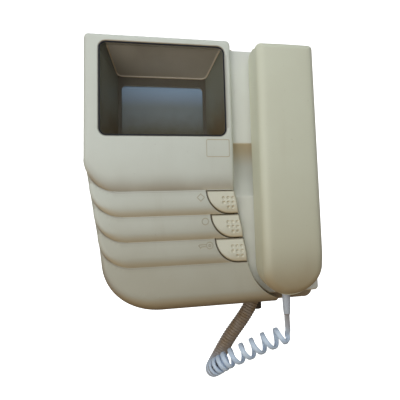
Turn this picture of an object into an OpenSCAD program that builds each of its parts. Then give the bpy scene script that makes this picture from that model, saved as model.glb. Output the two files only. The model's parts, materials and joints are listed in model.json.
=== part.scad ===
// Video intercom monitor for a wall: a screen panel over three lapped panels
// with call buttons, and a handset in a cradle at the right.
// Millimetres. X points right, Z up, and Y into the wall. The wall is the
// plane Y = 0, and the origin is the centre of the wall screws.

/* [Body] */
// Width over the cover and the cradle
body_w = 208; // [206:1:216]
// Height of the screen panel's top above the foot
body_h = 242; // [240:1:250]
// Depth from the wall to the cover's front face
body_d = 68; // [68:1:76]
// Depth of the rear housing, from the wall to the parting line
parting_d = 45; // [45:1:46]
// Wall thickness of the housing and the cover
wall_t = 2.5; // [2.2:0.1:2.6]
// Corner radius at the top of the body
corner_r = 6; // [4:0.5:7]

/* [Panels] */
// Height of the screen panel, from the top to its lower lip
screen_panel_h = 138.2; // [137:0.2:140]
// Spacing of the lapped panels
lap_pitch = 21.3; // [21:0.1:21.6]
// Sideways step from one lapped panel to the next
lap_shift = 3.4; // [3:0.1:3.6]
// Radius of each panel's lower left corner
lap_r = 31; // [29:0.5:33]
// Radius of the rounded lip along each panel
lip_r = 8; // [7:0.5:8.5]
// How far a panel's top is tucked behind the lip above it
lap_tuck = 5.5; // [5:0.25:6]
// Radius of the bottom panel's lower left corner
foot_r = 50; // [48:1:54]
// Radius of the bottom panel's lip
foot_lip_r = 17; // [15:1:18]
// Width of the cover at the screen panel
cover_w = 129.5; // [129:0.5:130.5]

/* [Window] */
// Width of the window
window_w = 110; // [108:0.5:111]
// Height of the window
window_h = 83; // [81:0.5:84]
// Corner radius of the window
window_r = 5; // [4:0.5:6]
// Margin of cover above the window
window_top = 6.7; // [6.5:0.1:7.5]
// Margin of cover at the left of the window
window_left = 13.4; // [13.2:0.1:14]
// Width of the window's dark seal
seal_w = 1.2; // [1:0.1:1.4]
// Thickness of the smoked pane
pane_t = 2; // [1.8:0.1:2.2]

/* [Picture tube] */
// Width of the glass faceplate
tube_w = 88; // [87:0.5:89]
// Height of the glass faceplate
tube_h = 68; // [67:0.5:69]
// Distance from the cover's face back to the faceplate
tube_setback = 40; // [40:0.5:41]
// Thickness of the faceplate
faceplate_t = 3.5; // [3:0.1:3.6]
// Depth of the flat funnel behind the faceplate
funnel_d = 13.5; // [13:0.25:13.75]
// Diameter of the neck
neck_d = 12; // [11:0.25:12.5]
// Length of the neck below the funnel
neck_l = 66; // [62:1:68]
// Outer diameter of the deflection yoke
yoke_d = 21; // [20:0.25:21.5]
// Length of the deflection yoke
yoke_l = 26; // [22:1:30]

/* [Cradle] */
// How far the cradle's face lies behind the cover's face
cradle_drop = 8; // [7.5:0.25:8.5]
// How far the cradle's top lies under the body's top
cradle_top_drop = 5; // [4:0.5:6]
// How far the cradle's lower edge lies above the foot
cradle_foot = 9.5; // [9:0.25:11]
// Height of the finger scoop
scoop_h = 49; // [46:0.5:50]
// Depth of the finger scoop
scoop_d = 12; // [11:0.25:12.25]
// Radius of the cover's cut-out round the end of the handset
flare_r = 42; // [41:0.5:43]

/* [Handset] */
// Width of the handset
handset_w = 52; // [50:0.5:53]
// Length of the handset
handset_l = 218; // [214:1:219]
// Thickness of the handset
handset_t = 31.5; // [31:0.25:33]
// Thickness of the handset's front shell
handset_front_t = 14; // [13:0.25:15]
// Corner radius of the handset's long edges
handset_edge_r = 6; // [5:0.25:7]
// Wall thickness of the handset
handset_wall = 2; // [1.8:0.1:2.2]
// Distance from the middle of the handset to each cap
cap_spread = 72; // [71:0.5:73]
// Diameter of the ear and mouth caps
cap_d = 42; // [40:0.5:43]
// Height of the caps above the handset's back
cap_h = 5; // [4.5:0.25:5.5]

/* [Buttons] */
// Width of a button along its upper edge
button_w = 25; // [24:0.5:25.5]
// Height of a button
button_h = 20.3; // [20:0.1:20.4]
// Gap round a button
button_gap = 0.6; // [0.5:0.05:0.7]
// Travel of a button
button_travel = 1.2; // [0.8:0.1:1.4]
// Spacing of the dimples on a button
dimple_pitch = 4.15; // [4:0.05:4.3]
// Diameter of a dimple
dimple_d = 2.3; // [2:0.1:2.6]

/* [Wall bracket] */
// Thickness of the steel wall bracket
bracket_t = 1.2; // [1:0.1:1.4]
// Width of the wall bracket
bracket_w = 104; // [100:1:110]
// Height of the wall bracket
bracket_h = 172; // [168:1:180]
// Spacing of the wall screws across
screw_dx = 83.5; // [80:0.5:86]
// Spacing of the wall screws up and down
screw_dz = 150; // [146:1:152]
// Diameter of the holes for the wall screws
screw_hole_d = 4.5; // [4:0.1:5]

/* [Cord] */
// Width of the flat strand, seen from the side of a curl
cord_w = 4.2; // [3.6:0.1:4.3]
// Thickness of the flat strand
cord_t = 2.3; // [1.8:0.1:2.4]
// Radius of a curl at the middle of the strand
curl_r = 4.8; // [4.5:0.1:5]

/* [Clearances] */
// Gap between pieces that are seated on each other
seat = 0.25; // [0.2:0.05:0.3]
// Gap between the cover and the cradle
joint_gap = 0.3; // [0.25:0.05:0.4]
// Gap round a piece that slides
slide_gap = 0.2; // [0.15:0.05:0.25]

/* [Hidden] */
$fn = 64;
big = 400;  // longer than anything that it cuts

// Body
left_x = -body_w / 2;
right_x = body_w / 2;
top_z = body_h / 2;
foot_z = -body_h / 2;
front_y = -body_d;
part_y = -parting_d;
cover_x = left_x + cover_w;
floor_y = -bracket_t - seat;           // outer face of the housing's floor
inner_y = floor_y - wall_t;            // inner face of the housing's floor
foot_corner_r = 8;
foot_end_x = right_x - 41;             // where the cover's foot ends, beside the handset
rim_l = 5;                             // straight rim of the cover at the parting plane

// Panels
laps = 3;
seam = [for (i = [0:laps]) top_z - screen_panel_h - i * lap_pitch];
lap_x = [for (i = [0:laps + 1]) left_x + i * lap_shift];
lap_tilt = atan(lap_tuck / lap_pitch);
shell_y = front_y + lap_tuck + wall_t; // inner face of the lapped panels
face_in_y = front_y + wall_t;          // inner face of the screen panel

// Window
window_x = left_x + window_left + window_w / 2;
window_z = top_z - window_top - window_h / 2;
seal_flange = 2.4;
seal_flange_t = 1.2;
pane_y = front_y + 0.3;

// Picture tube
tube_x = window_x - 1.4;
tube_z = window_z - 13.2;
face_y = front_y + tube_setback;       // front of the faceplate
funnel_y = face_y + faceplate_t;
funnel_end_y = funnel_y + funnel_d;
tube_r = 7;
neck_y = funnel_y + 5;
neck_top_z = tube_z - tube_h / 2;
neck_end_z = neck_top_z - neck_l;
yoke_drop = 8;                         // from the faceplate's lower edge to the yoke
hood_t = 1.6;
picture_w = 80;
picture_h = 61;
hood_back_top = 100;                   // upper edge of the hood's bezel

// Cradle
cradle_y = front_y + cradle_drop;
cradle_top_z = top_z - cradle_top_drop;
cradle_foot_z = foot_z + cradle_foot;
flare_x = right_x - 27;                 // centre of the cut-out round the handset's end
flare_z = foot_z + 46;
cradle_corner_r = 4;
scoop_z = 1.9;
scoop_r = (pow(scoop_h / 2, 2) + pow(scoop_d, 2)) / (2 * scoop_d);
scoop_y = cradle_y + scoop_d - scoop_r;

// Handset
handset_x = right_x - 34.8;
handset_back_y = cradle_y - 0.5;
handset_face_y = handset_back_y - handset_t;
handset_part_y = handset_face_y + handset_front_t;
handset_end_r = handset_w / 2;
handset_end_z = -handset_l / 2 + handset_end_r;
handset_top_r = 5;
nose_l = 40;                           // length over which the lower end curves back
nose_d = 12;
nose_r = (pow(nose_l, 2) + pow(nose_d, 2)) / (2 * nose_d);
cap_recess_d = cap_d + 4;
cap_recess_h = cap_h + 1.5;
exit_x = handset_x - 1.2;              // where the cord leaves the handset
exit_y = handset_part_y + 9;

// Hook
hook_z = 37;
hook_d = 8;
hook_travel = 4;
hook_tip_y = handset_back_y + 0.3;
hook_flange_y = part_y + hook_travel + 0.3;
hook_flange_t = 1.5;
hook_end_y = hook_flange_y + hook_flange_t;

// Buttons
button_x = cover_x - button_w;
button_back_y = front_y + 7;
stem_w = 5;
plunger_y = button_back_y + 3.7;       // where the stem meets its switch plunger
switch_y = plunger_y + button_travel + 0.4;
switch_h = 3.5;
switch_w = 6;
board_t = 1.6;
button_board_y = switch_y + switch_h;
button_cx = [for (i = [0:2]) button_x + i * lap_shift + button_w / 2 + 2];
button_cz = [for (i = [0:2]) seam[i] - button_h / 2];

// Boards
main_board_y = inner_y - 1.9 - board_t;  // front face of the main board
standoff_h = 1.9 - seat;
board_left_x = left_x + 42;
board_right_x = right_x - 4;
board_foot_z = foot_z + 11;
board_top_z = 21;
board_side_z = 44;                     // top of the board's part under the terminal block
standoff_x = [board_left_x + 2, 20, board_right_x - 10];
standoff_z = [board_foot_z + 5, board_top_z - 11];
terminal_x = right_x - 26;
terminal_z = 16;
terminal_pitch = 6;
terminals = 6;
terminal_x0 = terminal_x - (terminals - 1) * terminal_pitch / 2;
hook_switch_w = 12;

// Wall bracket
tab_x = [-31, 31];
tab_z = 62;
tab_w = 12;
tab_t = bracket_t;
tongue_w = 12;
tongue_z = foot_z + wall_t + seat;     // lower edge of the tongue that the locking screw holds
lock_y = -8;
well_d = 12;                           // room for the heads of the wall screws
cable_x = 30;
cable_z = 45;
cable_w = 28;
cable_h = 26;

// Screws from the back into the cover's and the cradle's posts
post_d = 7;
post_end_y = -20;
post_root = 1;                         // how far a post runs into the wall of the cover
pilot_d = 3;
screw_d = 2.9;
screw_head_d = 5.6;
screw_head_h = 2;
screw_l = 12;
boss_d = 8.5;
edge_to_post = 8;
cover_posts = [
    [left_x + edge_to_post, top_z - 21], [left_x + edge_to_post, top_z - 85],
    [lap_x[4] + 22.4, foot_z + 53], [foot_end_x - 55, foot_z + 17]
];
cradle_posts = [
    [cover_x + 10.5, cradle_top_z - 9], [right_x - edge_to_post, cradle_top_z - 9],
    [right_x - edge_to_post, cradle_foot_z + 8.5], [flare_x - flare_r + 7, flare_z + 15]
];
handset_posts = [98, 30];
relief_l = 14;
base_exit_x = right_x - 53;
base_exit_y = -23;

// ---------- outlines, drawn in X and Z ----------

module upright(y0, y1) {  // extrudes an X-Z outline from y0 back to y1
    translate([0, y1, 0]) rotate([90, 0, 0]) linear_extrude(y1 - y0) children();
}

module round_rect(w, h, r) {
    difference() {
        square([w, h], center = true);
        for (sx = [-1, 1], sz = [-1, 1]) scale([sx, sz])
            translate([w / 2 - r, h / 2 - r]) difference() {
                square(r + 1);
                circle(r);
            }
    }
}

module lap_outline(i) {  // one panel, with its rounded lower left corner
    r = i <= laps ? lap_r : foot_r;
    low = i <= laps ? seam[i] : foot_z;
    high = i == 0 ? top_z : seam[i - 1] + (i <= laps ? lap_r : foot_r);
    wide = (i <= laps ? cover_x + 20 : foot_end_x) - lap_x[i];
    translate([lap_x[i], low]) difference() {
        square([wide, high - low]);
        difference() {
            translate([-1, -1]) square(r + 1);
            translate([r, r]) circle(r, $fn = 96);
        }
        if (i == 0) translate([0, high - low]) rotate(-90) corner_cut(corner_r);
    }
}

module corner_cut(r) {  // what rounds the corner at the origin
    difference() {
        translate([-1, -1]) square(r + 1);
        translate([r, r]) circle(r);
    }
}

module cradle_outline(grow = 0) {  // the cradle, and room for it above and beside
    reach = grow > 0 ? big : 0;
    low = grow > 0 ? foot_z - 1 : cradle_foot_z;
    slope = [[cover_x - grow, seam[0]], [flare_x - flare_r - grow, flare_z]];
    polygon([
        [cover_x - grow, cradle_top_z + reach], [right_x + reach, cradle_top_z + reach],
        [right_x + reach, flare_z], slope[1], slope[0]
    ]);
    intersection() {
        translate([flare_x, flare_z]) circle(flare_r + grow, $fn = 128);
        translate([0, low]) square([flare_x, flare_z - low + 1]);
    }
    translate([flare_x - 1, low]) square([right_x - flare_x + 1 + reach, flare_z - low + 1]);
}

module cradle_shape() {
    difference() {
        cradle_outline();
        translate([right_x, cradle_top_z]) rotate(180) corner_cut(cradle_corner_r);
        translate([right_x, cradle_foot_z]) rotate(90) corner_cut(cradle_corner_r);
    }
}

module cover_shape() {
    difference() {
        for (i = [0:laps + 1]) lap_outline(i);
        cradle_outline(joint_gap);
        translate([cover_x - joint_gap, top_z]) rotate(180) corner_cut(corner_r - 1);
    }
}

module body_shape() {  // the rear housing, behind the cover and the cradle
    difference() {
        union() {
            for (i = [0:laps + 1]) lap_outline(i);
            translate([cover_x - 5, foot_z])
                square([right_x - cover_x + 5, cradle_top_z - foot_z]);
        }
        translate([cover_x - joint_gap, cradle_top_z]) square(big);
        translate([right_x, cradle_top_z]) rotate(180) corner_cut(cradle_corner_r);
        translate([right_x, foot_z]) rotate(90) corner_cut(foot_corner_r);
    }
}

// ---------- wall bracket and housing ----------

module wall_bracket() {
    color("#b9bdc0") difference() {
        union() {
            upright(-bracket_t, 0) round_rect(bracket_w, bracket_h, 8);
            for (x = tab_x) hook_tab(x);
            translate([-tongue_w / 2, -bracket_t, tongue_z])
                cube([tongue_w, bracket_t, -tongue_z - bracket_h / 2 + 1]);
            translate([-tongue_w / 2, lock_y - 5, tongue_z])
                cube([tongue_w, -lock_y + 5 - bracket_t / 2, bracket_t]);
        }
        upright(-bracket_t - 1, 1) {
            translate([cable_x, cable_z]) round_rect(cable_w + 8, cable_h + 8, 4);
            translate([-22, 40]) round_rect(36, 36, 4);
            translate([0, -36]) round_rect(70, 46, 6);
        }
        translate([0, lock_y, tongue_z - 1]) cylinder(d = pilot_d, h = bracket_t + 2);
        for (sx = [-1, 1], sz = [-1, 1])
            translate([sx * screw_dx / 2, 1, sz * screw_dz / 2])
                rotate([90, 0, 0]) cylinder(d = screw_hole_d, h = bracket_t + 2);
    }
}

module hook_tab(x) {  // bent up from the bracket, through a slot in the housing's floor
    translate([x - tab_w / 2, inner_y - tab_t - seat, tab_z])
        cube([tab_w, tab_t + seat - inner_y - bracket_t / 2, tab_t]);
    translate([x - tab_w / 2, inner_y - tab_t - seat, tab_z]) cube([tab_w, tab_t, 6]);
}

module screw_boss(p) {
    translate([p[0], inner_y + 0.5, p[1]]) rotate([90, 0, 0])
        cylinder(d = boss_d, h = inner_y + 0.5 - post_end_y - seat);
}

module screw_hole(p) {  // clearance hole with a wide counterbore from the back
    translate([p[0], 1, p[1]]) rotate([90, 0, 0]) cylinder(d = screw_d + 0.5, h = 40);
    translate([p[0], 1, p[1]]) rotate([90, 0, 0])
        cylinder(d = screw_head_d + 0.8, h = 1 - screw_seat_y());
}

function screw_seat_y() = post_end_y + 4;

module rear_housing() {
    color("#d9cfae") difference() {
        union() {
            difference() {
                upright(part_y, 0) body_shape();
                upright(part_y - 1, inner_y) offset(delta = -wall_t) difference() {
                    body_shape();
                    ledge_shape();
                }
                upright(part_y + wall_t, inner_y) offset(delta = -wall_t) body_shape();
                upright(floor_y, 1) offset(delta = -wall_t) body_shape();
            }
            for (p = concat(cover_posts, cradle_posts)) screw_boss(p);
            for (x = standoff_x, z = standoff_z)
                translate([x, inner_y + 0.5, z]) rotate([90, 0, 0])
                    cylinder(d = 6, h = standoff_h + 0.5);
        }
        for (p = concat(cover_posts, cradle_posts)) screw_hole(p);
        for (x = tab_x) translate([x - tab_w / 2 - 1, inner_y - 1, tab_z - 1])
            cube([tab_w + 2, wall_t + 3, 9]);
        for (sx = [-1, 1], sz = [-1, 1])
            translate([sx * screw_dx / 2, 1, sz * screw_dz / 2])
                rotate([90, 0, 0]) cylinder(d = well_d, h = 2 - inner_y);
        translate([-tongue_w / 2 - 1, inner_y - 1, foot_z + wall_t])
            cube([tongue_w + 2, wall_t + 3, 4]);
        translate([0, lock_y, foot_z - 1]) cylinder(d = screw_d + 0.5, h = wall_t + 2);
        upright(inner_y - 1, 1) translate([cable_x, cable_z])
            round_rect(cable_w, cable_h, 3);
        for (i = [0:8]) {
            translate([-70 + i * 11, -30, cradle_top_z - 10]) cube([5, 14, 20]);
            translate([-30 + i * 8, -36, foot_z - 1]) cube([3, 12, wall_t + 2]);
        }
        translate([base_exit_x, base_exit_y, foot_z - 1]) cylinder(d = 9, h = wall_t + 2);
    }
}

module ledge_shape() {  // the part of the housing's front that no shell covers
    translate([foot_end_x - 12, foot_z - 1])
        square([right_x, cradle_foot_z - foot_z + 1]);
}

// ---------- front cover ----------

// A slab whose left and lower edges and lower left corner are rounded by lip.
// Its face is y = 0, its lower left corner x = z = 0.
module lap_slab(w, h, r, lip, t) {
    translate([r, 0, r]) rotate([-90, 0, 0]) rotate(90) rotate_extrude(angle = 90, $fn = 96)
        mirror([1, 0]) translate([-r, 0]) lip_profile(r, lip, t);
    translate([r, 0, 0]) rotate([90, 0, 90]) linear_extrude(w - r)
        mirror([1, -1]) lip_profile(r, lip, t);
    translate([0, 0, r]) linear_extrude(h - r) lip_profile(r, lip, t);
    translate([r, 0, r]) cube([w - r, t, h - r]);
}

module lip_profile(len, lip, t) {
    difference() {
        square([len, t]);
        difference() {
            translate([-1, -1]) square(lip + 1);
            translate([lip, lip]) circle(lip);
        }
    }
}

// A panel in its place: the lapped ones lean out at their lower lip. With an
// inset it is the hollow behind the panel's wall.
module panel(i, inset = 0) {
    r = i <= laps ? lap_r : foot_r;
    lip = i <= laps ? lip_r : foot_lip_r;
    low = i <= laps ? seam[i] : foot_z;
    high = i == 0 ? top_z : seam[i - 1] + (i <= laps ? lap_r : 24);
    wide = (i <= laps ? cover_x + 12 : foot_end_x) - lap_x[i];
    translate([lap_x[i], front_y, low + lip]) rotate([i == 0 ? 0 : -lap_tilt, 0, 0])
        translate([inset, inset, inset - lip])
            lap_slab(wide, high - low, r - inset, lip - inset, part_y - front_y + 2 * inset);
}

module cover_body() {
    intersection() {
        union() {
            for (i = [0:laps + 1]) panel(i);
            upright(part_y - rim_l, part_y) cover_shape();
        }
        upright(front_y - 1, part_y - seat) cover_shape();
    }
}

module button_outline(grow = 0) {  // from its upper left corner at the origin
    r = button_h;
    translate([-grow, -button_h - grow]) difference() {
        square([button_w + 30, button_h + 2 * grow]);
        difference() {
            translate([-1, -1]) square(r + 1);
            translate([r + grow, r + grow]) circle(r + grow, $fn = 96);
        }
    }
}

// The panel that shows at the height z, and the depth of its face there.
function lap_at(z) = len([for (s = seam) if (s > z) s]);
function face_at(z) =
    let (i = lap_at(z), low = i <= laps ? seam[i] + lip_r : foot_z + foot_lip_r)
    front_y + (i == 0 ? 0 : max(0, z - low) * tan(lap_tilt));
function post_root_y(z) = face_at(z) + wall_t - post_root;

module at_button(i) {
    translate([button_x + i * lap_shift, seam[i] - button_gap / 2]) children();
}

module front_cover() {
    color("#e3dcc0") difference() {
        union() {
            difference() {
                cover_body();
                intersection() {
                    union() for (i = [0:laps + 1]) panel(i, wall_t);
                    upright(front_y, part_y + 1) offset(delta = -wall_t) cover_shape();
                }
            }
            for (p = cover_posts)
                translate([p[0], post_end_y, p[1]]) rotate([90, 0, 0])
                    cylinder(d = post_d, h = post_end_y - post_root_y(p[1]));
            for (z = [seam[0] - 4, seam[2] - 12])
                translate([button_x - 5, button_board_y - seat, z]) rotate([90, 0, 0])
                    cylinder(d = 5, h = button_board_y - seat - post_root_y(z));
        }
        for (p = cover_posts)
            translate([p[0], post_end_y + 1, p[1]]) rotate([90, 0, 0])
                cylinder(d = pilot_d, h = screw_l);
        upright(front_y - 1, face_in_y + 3) translate([window_x, window_z])
            round_rect(window_w, window_h, window_r);
        for (i = [0:2]) upright(front_y - 1, shell_y + 1) at_button(i)
            button_outline(button_gap);
    }
}

// ---------- window and picture tube ----------

module window_gasket() {
    color("#1d1f27") difference() {
        union() {
            upright(front_y + 0.1, face_in_y + seat) translate([window_x, window_z])
                round_rect(window_w - 2 * seat, window_h - 2 * seat, window_r);
            upright(face_in_y + seat, face_in_y + seat + seal_flange_t)
                translate([window_x, window_z])
                    round_rect(window_w + seal_flange, window_h + seal_flange, window_r);
        }
        upright(front_y - 1, pane_y + pane_t + seat) translate([window_x, window_z])
            round_rect(window_w - 2 * seal_w, window_h - 2 * seal_w, window_r - seal_w);
        upright(front_y, face_in_y + 3) translate([window_x, window_z])
            round_rect(window_w - 4 * seal_w, window_h - 4 * seal_w, window_r - 2 * seal_w);
    }
}

module window_pane() {
    w = window_w - 2 * seal_w - 2 * seat;
    h = window_h - 2 * seal_w - 2 * seat;
    color("#3b3a3f", 0.45) upright(pane_y, pane_y + pane_t)
        translate([window_x, window_z]) round_rect(w, h, window_r - seal_w);
}

hood_front_y = face_in_y + 2 * seat + seal_flange_t;
hood_back_y = face_y - seat;

module hood_void(grow) {  // the tapered space in front of the tube
    bezel_low = tube_z - picture_h / 2 - 2;
    hull() {
        upright(hood_front_y - 1 + grow, hood_front_y + grow) translate([window_x, window_z])
            round_rect(window_w + 2 * grow - 1, window_h + 2 * grow - 1, window_r);
        upright(hood_back_y - hood_t - 0.1, hood_back_y - hood_t)
            translate([tube_x, (hood_back_top + bezel_low) / 2])
                square([picture_w + 7 + 2 * grow, hood_back_top - bezel_low + 2 * grow],
                    center = true);
    }
}

module screen_hood() {
    color("#5d5048") difference() {
        union() {
            hood_void(hood_t);
            upright(hood_back_y - hood_t, hood_back_y) translate([tube_x, tube_z])
                round_rect(tube_w + 8, tube_h + 14, 3);
            upright(hood_back_y - hood_t, funnel_y + 4) translate([tube_x, tube_z])
                difference() {
                    round_rect(tube_w + 8, tube_h + 8, tube_r);
                    round_rect(tube_w + 2 * seat, tube_h + 2 * seat, tube_r);
                }
        }
        hood_void(0);
        upright(hood_front_y - 5, hood_front_y) square(big, center = true);
        upright(hood_back_y - hood_t - 1, hood_back_y + 1) translate([tube_x, tube_z])
            round_rect(picture_w, picture_h, 4);
        translate([tube_x, neck_y, tube_z - tube_h / 2 - 8])
            cylinder(d = neck_d + 6, h = 8);
    }
}

module tube_faceplate() {
    color("#7d8288") upright(face_y, funnel_y - 0.05) translate([tube_x, tube_z])
        round_rect(tube_w, tube_h, tube_r);
}

module tube_funnel() {
    root_h = 3;  // how far the neck runs up into the funnel
    color("#5f676c") union() {
        upright(funnel_y, funnel_end_y) translate([tube_x, tube_z])
            round_rect(tube_w, tube_h, tube_r);
        difference() {
            translate([tube_x, neck_y, neck_end_z]) cylinder(d = neck_d, h = neck_l + root_h);
            translate([tube_x - neck_d, funnel_y - neck_d, neck_top_z])
                cube([2 * neck_d, neck_d, root_h + 1]);
        }
    }
}

module deflection_yoke() {
    color("#3a3c40") translate([tube_x, neck_y, neck_top_z - yoke_drop - yoke_l]) difference() {
        cylinder(d = yoke_d, h = yoke_l);
        translate([0, 0, -1]) cylinder(d = neck_d + 5, h = yoke_l + 2);
    }
}

module yoke_windings() {
    color("#b8763a") translate([tube_x, neck_y, neck_top_z - yoke_drop - 2 - yoke_l]) difference() {
        cylinder(d = neck_d + 4.6, h = yoke_l + 4);
        translate([0, 0, -1]) cylinder(d = neck_d + 0.5, h = yoke_l + 6);
    }
}

module socket_board() {
    color("#c9b98a") union() {
        translate([tube_x - 14, neck_y - 10, neck_end_z - seat - 6 - board_t])
            cube([28, 20, board_t]);
        translate([tube_x, neck_y, neck_end_z - seat - 6.1]) cylinder(d = 15, h = 6.1);
    }
}

strap_y = funnel_end_y + seat;
strap_t = 0.9;

module tube_strap() {
    foot_x = tube_w / 2 + 1;
    color("#a9adb0") translate([tube_x, 0, tube_z]) {
        translate([-foot_x - 3, strap_y, -5]) cube([2 * foot_x + 6, strap_t, 10]);
        for (s = [-1, 1])
            translate([s * (foot_x + 1.8) - 0.6, funnel_y + 4 + seat, -5])
                cube([1.2, strap_y - funnel_y - 4 - seat + 0.1, 10]);
    }
}

// ---------- electronics ----------

module main_board() {
    color("#8a7b3c") difference() {
        upright(main_board_y, main_board_y + board_t) {
            translate([board_left_x, board_foot_z])
                square([board_right_x - board_left_x, board_top_z - board_foot_z]);
            translate([terminal_x - 26, board_top_z - 5])
                square([board_right_x - terminal_x + 26, board_side_z - board_top_z + 5]);
        }
        for (p = concat(cover_posts, cradle_posts))
            translate([p[0], 0, p[1]]) rotate([90, 0, 0]) cylinder(d = boss_d + 1.5, h = 20);
    }
}

module line_transformer() {
    color("#26282b") translate([4, main_board_y - seat, -72]) rotate([90, 0, 0]) {
        translate([-14, -12, 0]) cube([28, 24, 18]);
        translate([0, 0, 17.9]) cylinder(d = 18, h = 9);
        translate([0, 0, 26]) cylinder(d = 8, h = 5);
    }
}

cap_spots = [[-10, -40, 10, 18], [6, -38, 8, 14], [22, -42, 13, 22], [30, -92, 10, 16],
    [-22, -92, 8, 12], [46, -92, 12.5, 20]];

module capacitors() {
    color("#27364f") for (c = cap_spots)
        translate([c[0], main_board_y - seat, c[1]]) rotate([90, 0, 0])
            cylinder(d = c[2], h = c[3]);
}

module heat_sink() {
    color("#9aa0a4") translate([66, main_board_y - seat, -44]) {
        translate([-20, -22, 0]) cube([40, 22, 2]);
        for (i = [0:6]) translate([-20 + i * 6.4, -22, 1.9]) cube([1.6, 22, 9]);
    }
}

module terminal_block() {
    w = terminals * terminal_pitch;
    color("#4f7f5a") translate([terminal_x0, main_board_y - seat, terminal_z]) difference() {
        translate([-terminal_pitch / 2, -11, -6]) cube([w, 11, 12]);
        for (i = [0:terminals - 1]) translate([i * terminal_pitch, -12, 0]) {
            rotate([-90, 0, 0]) cylinder(d = 4, h = 4.5);
            translate([-1.6, 6, -7]) cube([3.2, 4, 8]);
        }
    }
}

module terminal_screws() {
    color("#c4c6c8") for (i = [0:terminals - 1])
        translate([terminal_x0 + i * terminal_pitch, main_board_y - seat - 10.5, terminal_z])
            rotate([-90, 0, 0]) difference() {
                cylinder(d = 3.6, h = 2.6);
                translate([-2, -0.35, -0.1]) cube([4, 0.7, 0.8]);
            }
}

module call_speaker() {
    color("#2d2d2f") translate([-40, main_board_y - seat, -78]) rotate([90, 0, 0]) union() {
        cylinder(d = 22, h = 7);
        translate([0, 0, 6.9]) cylinder(d1 = 24, d2 = 38, h = 7);
        translate([0, 0, 13.8]) cylinder(d = 40, h = 2);
    }
}

module button_board() {
    color("#5f7d4a") upright(button_board_y, button_board_y + board_t)
        translate([button_x - 9, seam[2] - lap_pitch + 1])
            polygon([[0, 0], [button_w + 12, 0], [button_w + 5, 3 * lap_pitch - 4],
                [0, 3 * lap_pitch - 4]]);
}

module tact_switches() {
    color("#2b2b2d") for (i = [0:2])
        translate([button_cx[i], button_board_y - seat, button_cz[i]]) rotate([90, 0, 0])
            difference() {
                translate([-switch_w / 2, -switch_w / 2, 0])
                    cube([switch_w, switch_w, switch_h - seat]);
                translate([0, 0, 0.8]) cylinder(d = 3.9, h = switch_h);
            }
}

module switch_plunger(i) {
    color("#d8d2c2") translate([button_cx[i], switch_y + 0.6, button_cz[i]])
        rotate([90, 0, 0]) cylinder(d = 3.5, h = switch_y + 0.6 - plunger_y - seat);
}

// ---------- buttons ----------

module button(i) {
    dimples = [for (r = [0:2], c = [0:2]) if (r < 2 || c > 0) [c, r]];
    last_x = button_w + lap_shift * 0.6 - 4.4;
    color("#d8cda6") difference() {
        union() {
            intersection() {
                panel(i + 1);
                upright(front_y - 1, button_back_y) intersection() {
                    at_button(i) button_outline();
                    cover_reach();
                }
            }
            translate([button_cx[i], button_back_y - 0.5, button_cz[i]])
                translate([-stem_w / 2, 0, -stem_w / 2])
                    cube([stem_w, plunger_y - button_back_y + 0.5, stem_w]);
            translate([button_x + i * lap_shift - 2.4, shell_y + 0.4, button_cz[i] + 2])
                cube([10, 1.4, 6]);
            translate([button_x + i * lap_shift + 1.6, button_back_y - 0.5, button_cz[i] + 2])
                cube([4, shell_y + 1.3 - button_back_y, 6]);
        }
        for (d = dimples)
            translate([button_x + i * lap_shift + last_x - (2 - d[0]) * dimple_pitch,
                    front_y + lap_tuck * (0.78 - 0.2 * d[1]) - 1.0,
                    seam[i] - 6.2 - d[1] * dimple_pitch])
                sphere(d = dimple_d, $fn = 24);
    }
}

module cover_reach() {  // the cover's side of the line between cover and cradle
    difference() {
        translate([left_x, foot_z]) square([body_w, body_h]);
        cradle_outline(joint_gap);
    }
}

// ---------- cradle and hook ----------

module handset_cradle() {
    color("#e6e6df") difference() {
        union() {
            difference() {
                upright(cradle_y, part_y - seat) cradle_shape();
                upright(cradle_y + wall_t, part_y + 1) offset(delta = -wall_t) cradle_shape();
            }
            intersection() {
                upright(cradle_y, part_y - seat) cradle_shape();
                union() {
                    translate([cover_x, scoop_y, scoop_z]) rotate([0, 90, 0])
                        cylinder(r = scoop_r + wall_t, h = scoop_w() + wall_t);
                    for (s = [-1, 1]) translate([handset_x, 0, s * cap_spread])
                        rotate([90, 0, 0]) translate([0, 0, -cradle_y - cap_recess_h - wall_t])
                            cylinder(d = cap_recess_d + 2 * wall_t, h = 40);
                    translate([handset_x, 0, hook_z]) rotate([90, 0, 0])
                        cylinder(d = hook_d + 5, h = 80);
                }
            }
            for (p = cradle_posts)
                translate([p[0], post_end_y, p[1]]) rotate([90, 0, 0])
                    cylinder(d = post_d, h = post_end_y - cradle_y - 1);
        }
        translate([cover_x - 1, scoop_y, scoop_z]) rotate([0, 90, 0])
            cylinder(r = scoop_r, h = scoop_w() + 1, $fn = 128);
        for (s = [-1, 1]) translate([handset_x, 0, s * cap_spread]) rotate([90, 0, 0])
            translate([0, 0, -cradle_y - cap_recess_h]) cylinder(d = cap_recess_d, h = 40);
        translate([handset_x, 0, hook_z]) rotate([90, 0, 0])
            cylinder(d = hook_d + 2 * slide_gap, h = 80);
        for (p = cradle_posts)
            translate([p[0], post_end_y + 1, p[1]]) rotate([90, 0, 0])
                cylinder(d = pilot_d, h = screw_l);
    }
}

function scoop_w() = handset_x - cover_x - 8;

module hook_plunger() {
    color("#c9c9c2") translate([handset_x, 0, hook_z]) rotate([90, 0, 0]) {
        translate([0, 0, -hook_flange_y - 1]) cylinder(d = hook_d, h = hook_flange_y - hook_tip_y);
        translate([0, 0, -hook_tip_y - 1.05]) cylinder(d1 = hook_d, d2 = hook_d - 2, h = 1.05);
        translate([0, 0, -hook_end_y]) cylinder(d = hook_d + 3, h = hook_flange_t);
    }
}

spring_len = 8;

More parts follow.
